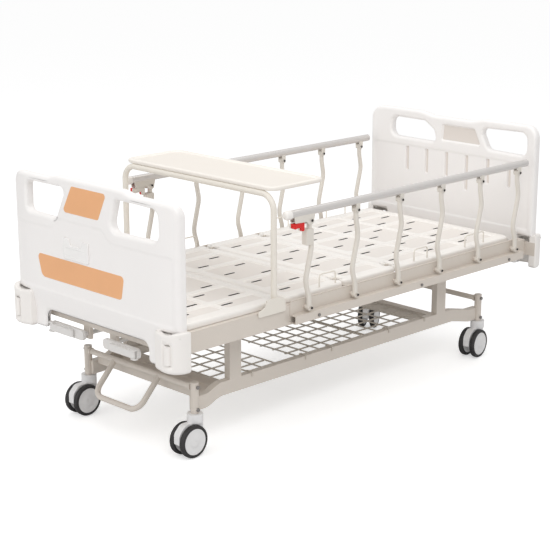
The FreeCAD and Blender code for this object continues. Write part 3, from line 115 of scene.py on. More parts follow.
# Injection-moulded cover: the same white, a little warmer and glossier.
cover_polypropylene = surface("cover_polypropylene", "#F2EEEA", 0.3, ior=1.5, grain_mm=0.8,
                              bump_um=8, mottle=0.012)
# Injection-moulded ABS of the deck: satin, slightly warmer than the boards.
deck_abs = surface("deck_abs", "#F3EFEA", 0.38, ior=1.53, grain_mm=0.7, bump_um=12)
# The sunk fields of the deck, from a grained part of the mould: duller, and a little darker as
# painted shade in these recesses.
deck_grain_and_shade = surface("deck_grain_and_shade", "#E8E2DC", 0.6, ior=1.53, grain_mm=0.9, bump_um=40)
# Vacuum-formed table top: cream-grey with a satin leathery skin.
table_abs = surface("table_abs", "#E9E2D9", 0.45, ior=1.53, grain_mm=0.9, bump_um=22)
# Rolled rim of the table top, with its walls and underside: the same ABS, lighter than the floor
# of its well.
table_rim = surface("table_rim", "#F1EBE3", 0.4, ior=1.53, grain_mm=0.9, bump_um=14)
# Dark regrind of the bushes, and painted shade on the walls of the deck's vent slots, where they
# open into the unlit hollow of the moulding.
slot_shade_and_bushes = surface("slot_shade_and_bushes", "#3A3532", 0.8, grain_mm=1.5, bump_um=30)
# Acrylic laminate inlay: even orange with a satin top coat and a faint long wood-like streak.
orange_laminate = surface("orange_laminate", "#F0B380", 0.34, ior=1.49, grain_mm=1.2, bump_um=8,
                          mottle=0.08)
# Anodised aluminium extrusion: long drawing lines along the bed.
anodised_rail = surface("anodised_rail", "#D8D4D1", 0.36, metallic=0.55, grain_mm=0.6,
                        bump_um=6, stretch=(0.02, 1, 1))
# Powder coat on the guard posts: matt, with a fine sandy skin.
post_powder = surface("post_powder", "#E2DCD3", 0.46, grain_mm=0.5, bump_um=16)
# Dipped wire of the trays: soft vinyl-like coat.
tray_coating = surface("tray_coating", "#CFC7BC", 0.5, grain_mm=0.9, bump_um=14)
# Black polyurethane tread with a dull face.
tread_rubber = surface("tread_rubber", "#2A2829", 0.55, ior=1.52, grain_mm=0.6, bump_um=30)
# Glass-filled nylon of the wheel discs and fenders.
hub_nylon = surface("hub_nylon", "#EDECEC", 0.4, ior=1.53, grain_mm=0.8, bump_um=10)
# Gloss red ABS of the release lever.
latch_abs = surface("latch_abs", "#DE0F0A", 0.28, ior=1.53, grain_mm=0.8, bump_um=6)
# Zinc-plated bolts and shafts: slightly uneven metal, dulled by handling.
zinc_plate = surface("zinc_plate", "#8F8C8A", 0.32, metallic=1.0, grain_mm=0.4, bump_um=8)
# Black oxide on the pivot bolts: dark, oily and nearly matt.
black_oxide = surface("black_oxide", "#3B3735", 0.5, metallic=0.4, grain_mm=0.4, bump_um=10)
# Cast grey ABS of the crank handles.
crank_abs = surface("crank_abs", "#DEDBD8", 0.36, ior=1.53, grain_mm=0.8, bump_um=12)
# Clear styrene of the card pocket, milky where it lies over the white board.
pocket_styrene = surface("pocket_styrene", "#F4F2F0", 0.15, ior=1.59, grain_mm=2.0, bump_um=5,
                         coat=0.3)

finish_of = {
    frame_enamel: ["base_rails", "base_end_arms", "base_cross_beams", "caster_posts",
                   "frame_columns", "main_side_rails", "main_cross_members", "frame_brackets",
                   "foot_brake_bar", "head_brake_bar", "left_rail_channel",
                   "right_rail_channel"],
    table_enamel: ["table_brackets", "table_frame"],
    cover_polypropylene: ["corner_covers", "foot_left_bumper", "foot_right_bumper",
                          "head_left_bumper", "head_right_bumper"],
    table_abs: ["table_top"],
    board_polyethylene: ["footboard_panel", "headboard_panel"],
    deck_abs: ["seat_deck", "back_deck", "thigh_deck", "calf_deck"],
    orange_laminate: ["footboard_inlays"],
    pocket_styrene: ["card_holder"],
    anodised_rail: ["left_handrail", "right_handrail"],
    tray_coating: ["mesh_trays"],
    hub_nylon: ["foot_left_caster_fork", "foot_right_caster_fork", "head_left_caster_fork",
                "head_right_caster_fork"],
    tread_rubber: ["foot_left_wheels", "foot_right_wheels", "head_left_wheels",
                   "head_right_wheels"],
    latch_abs: ["left_latch_lever", "right_latch_lever"],
    zinc_plate: ["frame_bolts", "back_push_tube", "knee_push_tube"],
    crank_abs: ["back_crank", "knee_crank", "back_crank_grip", "knee_crank_grip"],
    post_powder: ["%s_guard_post_%d" % (side, i) for side in SIDES for i in range(1, 7)],
}
for finish, names in finish_of.items():
    for name in names:
        slots = nodes[name].data.materials
        slots.clear()
        slots.append(finish)


# Moulded plates: outlines with rounded edges, holes and sunk fields, in millimetres

def rounded(corners, run=30, turn=7, closed=True):
    """A run through (across, up, radius) corners as points, arcs and long runs divided."""
    spots = [Vector(corner[:2]) for corner in corners]
    points = []
    for i, (corner, (_, _, radius)) in enumerate(zip(spots, corners)):
        if not radius:
            points.append(corner)
            continue
        back = (spots[i - 1] - corner).normalized()
        ahead = (spots[(i + 1) % len(spots)] - corner).normalized()
        half = back.angle(ahead) / 2
        centre = corner + (back + ahead).normalized() * (radius / math.sin(half))
        start = corner + back * (radius / math.tan(half)) - centre
        end = corner + ahead * (radius / math.tan(half)) - centre
        points += [centre + start.lerp(end, k / turn).normalized() * radius
                   for k in range(turn + 1)]
    full = []
    for here, after in zip(points, points[1:] + points[:1]):
        parts = max(1, round((after - here).length / run))
        full += [here.lerp(after, k / parts) for k in range(parts)]
    if not closed:
        return full[:len(full) - parts + 1]
    area = sum(a.cross(b) for a, b in zip(full, full[1:] + full[:1]))
    return full if area > 0 else full[::-1]


def moved_in(points, distance):
    """The same run shifted to its left, which is inwards on an outline."""
    shifted = []
    for before, here, after in zip(points[-1:] + points[:-1], points, points[1:] + points[:1]):
        way = (after - before).normalized()
        shifted.append(here + Vector((-way.y, way.x)) * distance)
    return shifted


def edge_round(radius, level, steps=5):
    """Inward moves and heights from the wall of a plate up over its rounded edge."""
    turns = [k * math.pi / 2 / steps for k in range(steps + 1)]
    return [(radius * (1 - math.cos(t)), level - radius + radius * math.sin(t)) for t in turns]


def step_down(high, low, wide, steps=4):
    """Inward moves and heights of a soft S-shaped step between two levels."""
    shares = [k / steps for k in range(steps + 1)]
    return [(wide * s, high + (low - high) * (1 - math.cos(math.pi * s)) / 2) for s in shares]


class Plate:
    """A moulded plate in the making: place(across, up, height) gives each point in the room."""

    LONG_RUN, HOLE_RUN = 30, 25
    FLAT_BAND = 1.5
    SLIVER = 0.01

    def __init__(self, place, grid=40, field_finish=0, slot_shade_finish=0):
        self.mesh = bmesh.new()
        self.place = place
        self.grid = grid
        self.field_finish = field_finish
        self.slot_shade_finish = slot_shade_finish

    def loop(self, points, height):
        """A ring of (plan point, vertex) pairs at one height."""
        return [(point, self.mesh.verts.new(self.place(point.x, point.y, height) * MM))
                for point in points]

    def wall(self, outline, moves, side, inward=1, first=None):
        """Rings of faces along an outline; returns the first and the last ring."""
        rings = [first] if first else []
        for distance, height in moves:
            rings.append(self.loop(moved_in(outline, distance * inward), height * side))
        for low, high in zip(rings, rings[1:]):
            deep = inward < 0 and low is first
            for i in range(len(low)):
                face = self.mesh.faces.new([low[i - 1][1], low[i][1], high[i][1],
                                            high[i - 1][1]])
                # Where a slot finish is given, the deep band of each hole wall takes it as
                # painted shade.
                face.material_index = self.slot_shade_finish if deep else 0
        return rings[0], rings[-1]

    def fill(self, loops, height, finish=0):
        """Triangles inside the first loop and outside the others, over an even grid."""
        edges = numpy.array([(a[0].x, a[0].y, b[0].x, b[0].y) for loop in loops
                             for a, b in zip(loop, loop[1:] + loop[:1])])

        def inside(spot):
            crosses = (edges[:, 1] > spot.y) != (edges[:, 3] > spot.y)
            run = edges[crosses]
            share = (spot.y - run[:, 1]) / (run[:, 3] - run[:, 1])
            return numpy.count_nonzero(run[:, 0] + share * (run[:, 2] - run[:, 0]) > spot.x) % 2

        def clear(spot):
            away = numpy.hypot(edges[:, 0] - spot.x, edges[:, 1] - spot.y)
            return away.min() > self.grid / 3

        low = Vector((edges[:, 0].min(), edges[:, 1].min()))
        high = Vector((edges[:, 0].max(), edges[:, 1].max()))
        extra = [Vector((low.x + self.grid * (i + 0.5), low.y + self.grid * (j + 0.5)))
                 for i in range(int((high.x - low.x) / self.grid))
                 for j in range(int((high.y - low.y) / self.grid))]
        extra = [spot for spot in extra if clear(spot) and inside(spot)]
        flat = [point for loop in loops for point, _ in loop] + extra
        known = [vertex for loop in loops for _, vertex in loop]
        rim = []
        for loop in loops:
            start = len(rim)
            rim += [(start + i, start + (i + 1) % len(loop)) for i in range(len(loop))]
        spots, _, faces, origins, _, _ = delaunay_2d_cdt(flat, rim, [], 0, 1e-4)
        corners = []
        for spot, origin in zip(spots, origins):
            if origin and origin[0] < len(known):
                corners.append(known[origin[0]])
            else:
                corners.append(self.mesh.verts.new(self.place(spot.x, spot.y, height) * MM))
        for face in faces:
            middle = sum((spots[i] for i in face), Vector((0, 0))) / len(face)
            if area_tri(*(spots[i] for i in face)) < self.SLIVER:
                continue
            if inside(middle) and len({corners[i] for i in face}) == len(face):
                made = self.mesh.faces.new([corners[i] for i in face])
                made.material_index = finish

    def sunk(self, fields, side):
        """Sunk fields with levels, a slope, fields and holes of their own; returns their rims."""
        tops = []
        for field in fields:
            outline = rounded(field["outline"], run=field.get("run", self.LONG_RUN))
            moves = step_down(field["from"], field["to"], field["slope"])
            first, last = self.wall(outline, moves, side)
            tops.append(first)
            inner = self.sunk(field.get("fields", []), side)
            inner += self.hole_tops(field.get("holes", []), 1.5, field["to"], side)
            # On the deck and the headboard a field's own finish paints shade on its floor.
            finish = field.get("finish", self.field_finish)
            self.fill([last] + inner, field["to"] * side, finish)
        return tops

    def hole_tops(self, holes, radius, level, side):
        """Walls of holes from their middle rings over a rounded edge; returns the last rings."""
        moves = edge_round(radius, level) + [(radius + 0.8, level)]
        return [self.wall(self.runs[i], moves, side, -1, self.middles[i])[1] for i in holes]

    def face(self, outline, middle, holes, level, radius, hole_radius, fields, side):
        """One face: from the middle rings over the rounded edges to the flat and its fields."""
        moves = edge_round(radius, level) + [(radius + self.FLAT_BAND, level)]
        tops = [self.wall(outline, moves, side, 1, middle)[1]]
        tops += self.hole_tops(holes, hole_radius, level, side)
        self.fill(tops + self.sunk(fields, side), level * side)

    def close(self, outline, holes, front, back):
        """Both faces. front and back: (level, edge radius, hole edge radius, fields)."""
        run = rounded(outline)
        middle = self.loop(run, 0)
        self.runs = [rounded(hole, run=self.HOLE_RUN, turn=5) for hole in holes]
        self.middles = [self.loop(hole, 0) for hole in self.runs]
        for (level, radius, hole_radius, fields), side in ((front, 1), (back, -1)):
            taken = {i for field in fields for i in field.get("holes", [])}
            free = [i for i in range(len(holes)) if i not in taken]
            self.face(run, middle, free, level, radius, hole_radius, fields, side)

    def piece(self, name, finish, body, *stands_for):
        return finished(self.mesh, name, finish, body, *stands_for)


def finished(mesh, name, finish, body, *stands_for):
    """Turns a bmesh into a smooth piece that rides on a body in place of CAD nodes."""
    bmesh.ops.recalc_face_normals(mesh, faces=mesh.faces)
    for face in mesh.faces:
        face.smooth = True
    data = bpy.data.meshes.new(name)
    mesh.to_mesh(data)
    mesh.free()
    for kind in finish if isinstance(finish, list) else [finish]:
        data.materials.append(kind)
    piece = bpy.data.objects.new(name, data)
    bpy.context.scene.collection.objects.link(piece)
    piece.modifiers.new("even_shading", "WEIGHTED_NORMAL").weight = 80
    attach(piece, body)
    if stands_for:
        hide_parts(*stands_for)
    return piece


# Head and foot boards

BOARD_HALF = 483
BOARD_MIDDLE = 1059
BOARD_TOP = 1027
SHOULDER, ARCH, LEG_FOOT = 542, 480, 404
LEG_INNER, LEG_OUTER = 306, 392
SWEEP, SWEEP_START, SWEEP_CURVE = 16, 372, 1.7
FOLD, FOLD_TOP, FOLD_HIGH = 13, 550, 62
RIM_LEVEL, FIELD_LEVEL, DEEP_LEVEL = 22, 19, 13
RIM_ROUND, BACK_ROUND, HAND_ROUND = 15, 13, 13
HEADBOARD_RISE = 16
INLAY_PROUD = 0.6
FLUTES = (-333, -212, -90, 28, 147, 266)
LONG_FLUTE = -90
FLUTE_HALF = 10


def board_place(end):
    """Boards stand across the bed; their ends sweep back and their lower edge folds in."""
    def place(y, z, height):
        reach = max(0, abs(y) - SWEEP_START) / (BOARD_HALF - SWEEP_START)
        sweep = SWEEP * reach ** SWEEP_CURVE
        fold = FOLD * min(1, max(0, (FOLD_TOP - z) / FOLD_HIGH)) if height > 0 else 0
        outer = BOARD_MIDDLE - sweep + (height - fold if height > 0 else height)
        return Vector((end * outer, y, z))
    return place


def board_outline(crown):
    """Two legs beside the arch under a crown of the board's own."""
    left = [(-BOARD_HALF, SHOULDER, 8), (-LEG_OUTER, SHOULDER, 6), (-LEG_OUTER, LEG_FOOT, 18),
            (-LEG_INNER, LEG_FOOT, 18), (-LEG_INNER, ARCH, 30)]
    return left + [(-y, z, radius) for y, z, radius in reversed(left)] + crown


def footboard():
    top = BOARD_TOP
    crown = [(BOARD_HALF, top - 13, 48), (250, top - 13, 110), (195, top, 110),
             (-195, top, 110), (-250, top - 13, 110), (-BOARD_HALF, top - 13, 48)]
    holes = [
        [(142, top - 41, 20), (388, top - 43, 26), (391, top - 163, 26), (207, top - 167, 30)],
        [(-150, top - 41, 20), (-388, top - 43, 34), (-388, top - 161, 30),
         (-112, top - 165, 34)]]
    field = [(462, top - 200, 18), (240, top - 200, 26), (190, top - 158, 18),
             (-76, top - 158, 18), (-118, top - 200, 26), (-462, top - 200, 18),
             (-462, 562, 14), (462, 562, 14)]
    plate = Plate(board_place(ENDS["foot"]))
    sunk = {"outline": field, "from": RIM_LEVEL, "to": FIELD_LEVEL, "slope": 14}
    plate.close(board_outline(crown), holes, (RIM_LEVEL, RIM_ROUND, HAND_ROUND, [sunk]),
                (FIELD_LEVEL, BACK_ROUND, HAND_ROUND, []))
    plate.piece("footboard_shell", board_polyethylene, "footboard", "footboard_panel")
    orange_inlays(top)


def orange_inlays(top):
    """Two thin plates let into the footboard, one between the hand grips and one below."""
    upper = [(99, top - 27, 12), (-108, top - 27, 12), (-56, top - 132, 12),
             (158, top - 132, 12)]
    lower = [(332, top - 320, 16), (306, top - 411, 26), (-177, top - 411, 16),
             (-195, top - 320, 16)]
    inlays = Plate(lambda y, z, height: Vector((-BOARD_MIDDLE - height, y, z)))
    for outline, level in ((upper, RIM_LEVEL), (lower, FIELD_LEVEL)):
        proud = level + INLAY_PROUD
        moves = [(0, level - 1), (0, proud - 0.5), (0.5, proud), (2, proud)]
        last = inlays.wall(rounded(outline), moves, 1)[1]
        inlays.fill([last], proud)
    inlays.piece("orange_inlays", orange_laminate, "footboard", "footboard_inlays")


def card_pocket():
    """A clear pocket on the footboard with a thumb notch between two ears."""
    outline = [(8, 716, 6), (158, 716, 6), (158, 796, 5), (126, 796, 5), (120, 770, 9),
               (50, 770, 9), (44, 796, 5), (8, 796, 5)]
    window = {"outline": [(18, 726, 5), (148, 726, 5), (148, 760, 5), (18, 760, 5)],
              "from": 3, "to": 1.6, "slope": 1.5, "run": 20}
    pocket = Plate(lambda y, z, height: Vector((-1081 - height, y, z)), grid=30)
    pocket.close(outline, [], (3, 1, 0.5, [window]), (3, 1, 0.5, []))
    pocket.piece("clear_card_pocket", pocket_styrene, "footboard", "card_holder")


def headboard():
    top = BOARD_TOP + HEADBOARD_RISE
    crown = [(BOARD_HALF, top, 58), (185, top, 110), (115, top - 15, 110),
             (-115, top - 15, 110), (-185, top, 110), (-BOARD_HALF, top, 58)]
    holes = [
        [(366, top - 44, 34), (166, top - 46, 40), (108, top - 82, 40), (94, top - 138, 18),
         (366, top - 136, 34)],
        [(-160, top - 42, 24), (-426, top - 36, 34), (-426, top - 140, 34),
         (-210, top - 136, 34)]]
    # Finish 1 of the flutes and of the centre field paints shade into these recesses.
    flutes = []
    for y in FLUTES:
        low, high = top - (343 if y == LONG_FLUTE else 295), top - 174
        left, right = y - FLUTE_HALF, y + FLUTE_HALF
        flutes.append({"outline": [(left, low, 9.5), (right, low, 9.5), (right, high, 9.5),
                                   (left, high, 9.5)],
                       "from": FIELD_LEVEL, "to": 11, "slope": 3, "run": 20, "finish": 1})
    field = {"outline": [(458, top - 166, 16), (78, top - 166, 14), (-185, top - 166, 14),
                         (-458, top - 172, 16), (-458, 566, 16), (458, 566, 16)],
             "from": RIM_LEVEL, "to": FIELD_LEVEL, "slope": 12, "fields": flutes}
    centre = {"outline": [(58, top - 45, 14), (-134, top - 45, 14), (-176, top - 130, 14),
                          (66, top - 130, 14)],
              "from": RIM_LEVEL, "to": DEEP_LEVEL, "slope": 9, "finish": 1}
    plate = Plate(board_place(ENDS["head"]))
    plate.close(board_outline(crown), holes, (FIELD_LEVEL, BACK_ROUND, HAND_ROUND, []),
                (RIM_LEVEL, RIM_ROUND, HAND_ROUND, [field, centre]))
    plate.piece("headboard_shell", [board_polyethylene, board_grain_and_shade], "headboard",
                "headboard_panel")


footboard()
card_pocket()
headboard()


# Deck: four moulded panels with ribs, sunk fields and vent slots

DECK_LOW, DECK_HIGH = 530.3, 556.3
DECK_HALF = 422
DECK_CORNER = 30
BORDER = 40
SLOT_BORDER = 34
FIELD_DEEP = 5.5
SLOT_LONG, SLOT_WIDE = 60, 14
SLOTS_ACROSS, SLOT_PITCH = 5, 158
RIBS_ACROSS = (-276.5, -118.5, 118.5, 276.5)
HINGE_SIDE = 362
NOTCH_HALF, NOTCH_DEEP = 15, 17


def seam_edge(x, inward, notched):
    """The edge of a panel along a seam, from the left corner to the right one."""
    spots = [(x, -DECK_HALF, DECK_CORNER)]
    for side in SIDES.values() if notched else ():
        left, right = side * HINGE_SIDE - NOTCH_HALF, side * HINGE_SIDE + NOTCH_HALF
        floor = x + inward * NOTCH_DEEP
        spots += [(x, left, 6), (floor, left, 4), (floor, right, 4), (x, right, 6)]
    return spots + [(x, DECK_HALF, DECK_CORNER)]


def deck_slots(low, high, columns):
    """The middles of the vent slots in staggered rows across the bed."""
    pitch = (high - low - 2 * SLOT_BORDER) / columns
    return [(low + SLOT_BORDER + pitch * (row + 0.5),
             (i - (SLOTS_ACROSS - 1 - row % 2) / 2) * SLOT_PITCH)
            for row in range(columns) for i in range(SLOTS_ACROSS - row % 2)]


def deck_panel(name, body, low, high, columns, notched):
    """A panel between two seams; every two rows of slots share five sunk fields."""
    middle = (DECK_LOW + DECK_HIGH) / 2
    half = (DECK_HIGH - DECK_LOW) / 2
    # Finish 1 paints shade on the walls of the vent slots and finish 2 on the floors of the sunk
    # fields.
    plate = Plate(lambda x, y, height: Vector((x, y, middle + height)), grid=60,
                  field_finish=2, slot_shade_finish=1)
    outline = seam_edge(low, 1, notched[0]) + seam_edge(high, -1, notched[1])[::-1]
    slots = deck_slots(low, high, columns)
    holes = [[(x + SLOT_LONG / 2 * a, y + SLOT_WIDE / 2 * b, 6.5)
              for a, b in ((-1, -1), (1, -1), (1, 1), (-1, 1))] for x, y in slots]
    pitch = (high - low - 2 * SLOT_BORDER) / columns
    rows = [low + SLOT_BORDER + pitch * k for k in range(0, columns + 1, 2)]
    bands = [BORDER - DECK_HALF, *RIBS_ACROSS, DECK_HALF - BORDER]
    fields = []
    for near, far in zip(rows, rows[1:]):
        for left, right in zip(bands, bands[1:]):
            edge = [(near + 7, left + 11, 15), (far - 7, left + 11, 15),
                    (far - 7, right - 11, 15), (near + 7, right - 11, 15)]
            held = [i for i, (x, y) in enumerate(slots)
                    if near < x < far and left < y < right]
            fields.append({"outline": edge, "from": half, "to": half - FIELD_DEEP, "slope": 7,
                           "holes": held})
    plate.close(outline, holes, (half, 11, 2, fields), (half, 4, 1.5, []))
    plate.piece(name + "_moulding", [deck_abs, slot_shade_and_bushes, deck_grain_and_shade], body, name)


def without_panel(node, body):
    """The hinges, levers and hoops of a deck node, without its panel."""
    mesh = bmesh.new()
    mesh.from_mesh(nodes[node].data)
    bmesh.ops.remove_doubles(mesh, verts=mesh.verts, dist=1e-6)
    edge = [max(mesh.verts, key=lambda vertex: abs(vertex.co.y))]
    panel = set(edge)
    while edge:
        vertex = edge.pop()
        for link in vertex.link_edges:
            other = link.other_vert(vertex)
            if other not in panel:
                panel.add(other)
                edge.append(other)
    bmesh.ops.delete(mesh, geom=list(panel), context="VERTS")
    finished(mesh, node + "_hinges", table_enamel, body)


def deck():
    deck_panel("calf_deck", "calf_deck", -995, -484, 4, (False, False))
    deck_panel("thigh_deck", "thigh_deck", -476, -142, 2, (False, True))
    deck_panel("seat_deck", "frame", -134, 174, 2, (True, True))
    deck_panel("back_deck", "back_deck", 182, 945, 6, (True, False))
    for node in ("calf_deck", "thigh_deck", "back_deck"):
        without_panel(node, node)


deck()


# Casters: turned tyres and wheel discs

WHEEL_MIDDLE = 64
WHEEL_SPREAD = 57
CASTERS = {"foot_left": (-859, -322.5, 0), "foot_right": (-859, 322.5, 0),
           "head_left": (859, -322.5, 7), "head_right": (859, 322.5, 26)}
TRAIL = 34
TYRE_HALF = [(1.8, 64), (2.3, 62.6), (3.3, 62.6), (3.8, 64), (5.5, 63.8), (8.5, 62.8),
             (10.6, 60.5), (11.5, 57), (11.4, 52.5), (10, 51)]
DISC_HALF = [(10.2, 0.4), (10.2, 8), (11.2, 11), (10.8, 20), (9, 22), (8.6, 30), (9.2, 43.5),
             (10.9, 46), (10.9, 50), (10, 51)]


def both_faces(half):
    """A whole (along, radius) section from the half on one side of its middle."""
    return [(-along, radius) for along, radius in reversed(half)] + half


def turned(mesh, section, centre, axle, steps=64):
    """A closed ring turned round an axle from an (along, radius) section."""
    side = axle.cross(Vector((0, 0, 1)))
    rings = []
    for k in range(steps):
        turn = 2 * math.pi * k / steps
        out = side * math.cos(turn) + Vector((0, 0, 1)) * math.sin(turn)
        rings.append([mesh.verts.new((centre + axle * along + out * radius) * MM)
                      for along, radius in section])
    for ring, after in zip(rings, rings[1:] + rings[:1]):
        for i in range(len(section)):
            mesh.faces.new([ring[i - 1], ring[i], after[i], after[i - 1]])


def caster_wheels(corner):
    """Twin wheels: two treads and two discs behind the swivel axis."""
    x, y, heading = CASTERS[corner]
    turn = math.radians(heading)
    ahead = Vector((math.cos(turn), math.sin(turn), 0))
    axle = Vector((-math.sin(turn), math.cos(turn), 0))
    middle = Vector((x, y, WHEEL_MIDDLE)) - ahead * TRAIL
    for part, half, finish in (("tyres", TYRE_HALF, tread_rubber),
                               ("discs", DISC_HALF, hub_nylon)):
        mesh = bmesh.new()
        for side in SIDES.values():
            turned(mesh, both_faces(half), middle + axle * side * WHEEL_SPREAD / 2, axle)
        finished(mesh, corner + "_" + part, finish, corner + "_wheels", corner + "_wheels")


for corner in CASTERS:
    caster_wheels(corner)


# Corner covers: curved shields with a moulded recess round the bumper roller

COVER_LOW = 405
COVER_UNDER = 538
COVER_WALL = 3.5
COVER_DIP, DIP_SIDE = 541, 430
COVER_PLAN = [(1066, 371, 0), (1090, 375, 7), (1102, 424, 45), (1102, 502, 57), (1030, 502, 5),
              (1030, 468, 0)]
COVER_ROWS = 38
ROLLER_SIDE = 450
ROLLER_LOW, ROLLER_HIGH = 435, 508
RECESS_DEEP, RECESS_HALF = 6, 17
WINDOW_HALF = 14
END_WALL = 1080


def smooth(share):
    """Eases a share between nought and one."""
    share = min(1, max(0, share))
    return share * share * (3 - 2 * share)


def cover_top(y):
    """The top edge dips beside the board and rises again to the side."""
    if y < DIP_SIDE:
        return COVER_DIP + 5 * smooth((DIP_SIDE - y) / 60)
    return COVER_DIP + 14 * smooth((y - DIP_SIDE) / 74)


def cover_column(mesh, spot, out, end, side):
    """Vertices up the wall at one place of the plan, over the rolled top and under the board."""
    top = cover_top(spot.y)
    aside = (abs(spot.y - ROLLER_SIDE) - RECESS_HALF) / 9
    near = 1 - smooth(aside) if spot.x > END_WALL else 0
    levels = []
    for k in range(COVER_ROWS + 1):
        z = COVER_LOW + (top - 4 - COVER_LOW) * k / COVER_ROWS
        tall = smooth((z - ROLLER_LOW + 14) / 9) * smooth((ROLLER_HIGH + 18 - z) / 18)
        fold = 5 * smooth((COVER_LOW + 8 - z) / 8)
        levels.append((RECESS_DEEP * near * tall + fold, z))
    levels += [(1.2, top - 1.2), (4, top), (10, top), (17, top - 0.7), (19.5, top - 2),
               (20.5, COVER_UNDER), (48, COVER_UNDER)]
    column = []
    for inward, z in levels:
        at = spot - out * inward
        vertex = mesh.verts.new(Vector((end * at.x, side * at.y, z)) * MM)
        column.append((vertex, spot.y, z))
    return column


def cover_shell(mesh, end, side):
    """One shield along its plan line, with a window for the roller in its recess."""
    line = rounded(COVER_PLAN, run=4, turn=14, closed=False)
    columns = []
    for i, spot in enumerate(line):
        way = (line[min(i + 1, len(line) - 1)] - line[max(i - 1, 0)]).normalized()
        columns.append(cover_column(mesh, spot, Vector((way.y, -way.x)), end, side))
    for left, right in zip(columns, columns[1:]):
        across = abs((left[0][1] + right[0][1]) / 2 - ROLLER_SIDE)
        window = across < WINDOW_HALF and left[0][0].co.x * end / MM > END_WALL
        for k in range(len(left) - 1):
            corners = [left[k], right[k], right[k + 1], left[k + 1]]
            level = sum(corner[2] for corner in corners) / 4
            if window and ROLLER_LOW - 3 < level < ROLLER_HIGH + 3:
                continue
            mesh.faces.new([corner[0] for corner in corners])


def corner_covers():
    mesh = bmesh.new()
    for end in ENDS.values():
        for side in SIDES.values():
            cover_shell(mesh, end, side)
    piece = finished(mesh, "corner_shields", cover_polypropylene, "frame", "corner_covers")
    wall = piece.modifiers.new("wall", "SOLIDIFY")
    wall.thickness = COVER_WALL * MM
    wall.offset = 0


corner_covers()


# Over-bed table: a shallow tray with a rolled rim

TABLE_FOOT, TABLE_HEAD, TABLE_SIDE = -558, -264, 434
TABLE_MIDDLE, TABLE_THICK = 986, 16
TABLE_CORNER, TABLE_RIM, WELL_DEEP = 46, 15, 5.5


def table_corners(inset, radius):
    """The outline of the table top, moved in by an inset."""
    return [(TABLE_FOOT + inset, inset - TABLE_SIDE, radius),
            (TABLE_HEAD - inset, inset - TABLE_SIDE, radius),
            (TABLE_HEAD - inset, TABLE_SIDE - inset, radius),
            (TABLE_FOOT + inset, TABLE_SIDE - inset, radius)]


def table_top():
    half = TABLE_THICK / 2
    plate = Plate(lambda x, y, height: Vector((x, y, TABLE_MIDDLE + height)), grid=80,
                  field_finish=1)
    well = {"outline": table_corners(TABLE_RIM, 34), "from": half, "to": half - WELL_DEEP,
            "slope": 10}
    plate.close(table_corners(0, TABLE_CORNER), [], (half, 6, 2, [well]), (half, 6, 2, []))
    plate.piece("table_tray", [table_rim, table_abs], "table", "table_top")


table_top()


# Guard rails: coated ears and caps on the bare rails, pivot bolts and release levers

GUARD_PLANE = 467
GUARD_FIRST, GUARD_PITCH = -395.5, 262.8
LOW_PIVOT, HIGH_PIVOT = 509.5, 853.5
POSTS = 6
BOLT_SEAT = 16.5
CAP_END = -499.5
RAIL_UNDERSIDE = 872
BUSH_LONG = 12
BOLT_SECTION = [(0, 0.1), (3.2, 0.1), (3.6, 2), (2.8, 4.4), (1.2, 5), (0, 5)]
LEVER = [(-463.5, 868.5, 5), (-463.5, 853.5, 2), (-493.5, 853.5, 3), (-493.5, 836.5, 6),
         (-479.5, 830.5, 6), (-447.5, 834.5, 3), (-444.5, 817.5, 5), (-430.5, 817.5, 5),
         (-429.5, 851.5, 4), (-447.5, 852.5, 2), (-447.5, 868.5, 5)]


def two_tone(node, finish, belongs):
    """Faces of a CAD piece that belong to another finish get it."""
    data = nodes[node].data
    data.materials.append(finish)
    for face in data.polygons:
        if belongs(face.center / MM):
            face.material_index = len(data.materials) - 1


def pivot_bolts(side_name, side):
    """A domed head at both ends of each pivot, above on the handrail and below on the frame."""
    for body, level in ((side_name + "_handrail", HIGH_PIVOT), ("frame", LOW_PIVOT)):
        mesh = bmesh.new()
        for i in range(POSTS):
            for way in (1, -1):
                spot = Vector((GUARD_FIRST + GUARD_PITCH * i,
                               side * (GUARD_PLANE + way * BOLT_SEAT), level))
                turned(mesh, BOLT_SECTION, spot, Vector((0, way * side, 0)), steps=20)
        finished(mesh, "%s_%s_pivot_bolts" % (side_name, body.split("_")[-1]), black_oxide, body)


def release_lever(side_name, side):
    """The red blade outside and the coated carrier behind it."""
    for part, finish, across, half, stands_for in (
            ("blade", latch_abs, GUARD_PLANE + 4, 6, [side_name + "_latch_lever"]),
            ("carrier", post_powder, GUARD_PLANE - 6, 4, [])):
        def place(x, z, height, across=across):
            return Vector((x, side * (across + height), z))
        plate = Plate(place, grid=30)
        plate.close(LEVER, [], (half, 1.5, 1, []), (half, 1.5, 1, []))
        plate.piece("%s_lever_%s" % (side_name, part), finish, side_name + "_latch", *stands_for)


for node in ("foot_brake_bar", "head_brake_bar"):
    reach = max(abs(corner[1]) for corner in nodes[node].bound_box) / MM
    two_tone(node, slot_shade_and_bushes, lambda spot: abs(spot.y) > reach - BUSH_LONG)
for side_name, side in SIDES.items():
    two_tone(side_name + "_handrail", cover_polypropylene, lambda spot: spot.x < CAP_END)
    two_tone(side_name + "_handrail", post_powder,
             lambda spot: spot.z < RAIL_UNDERSIDE and spot.x > CAP_END)
    pivot_bolts(side_name, side)
    release_lever(side_name, side)


# Broken edges of the CAD pieces that keep their shape, with their radii in millimetres

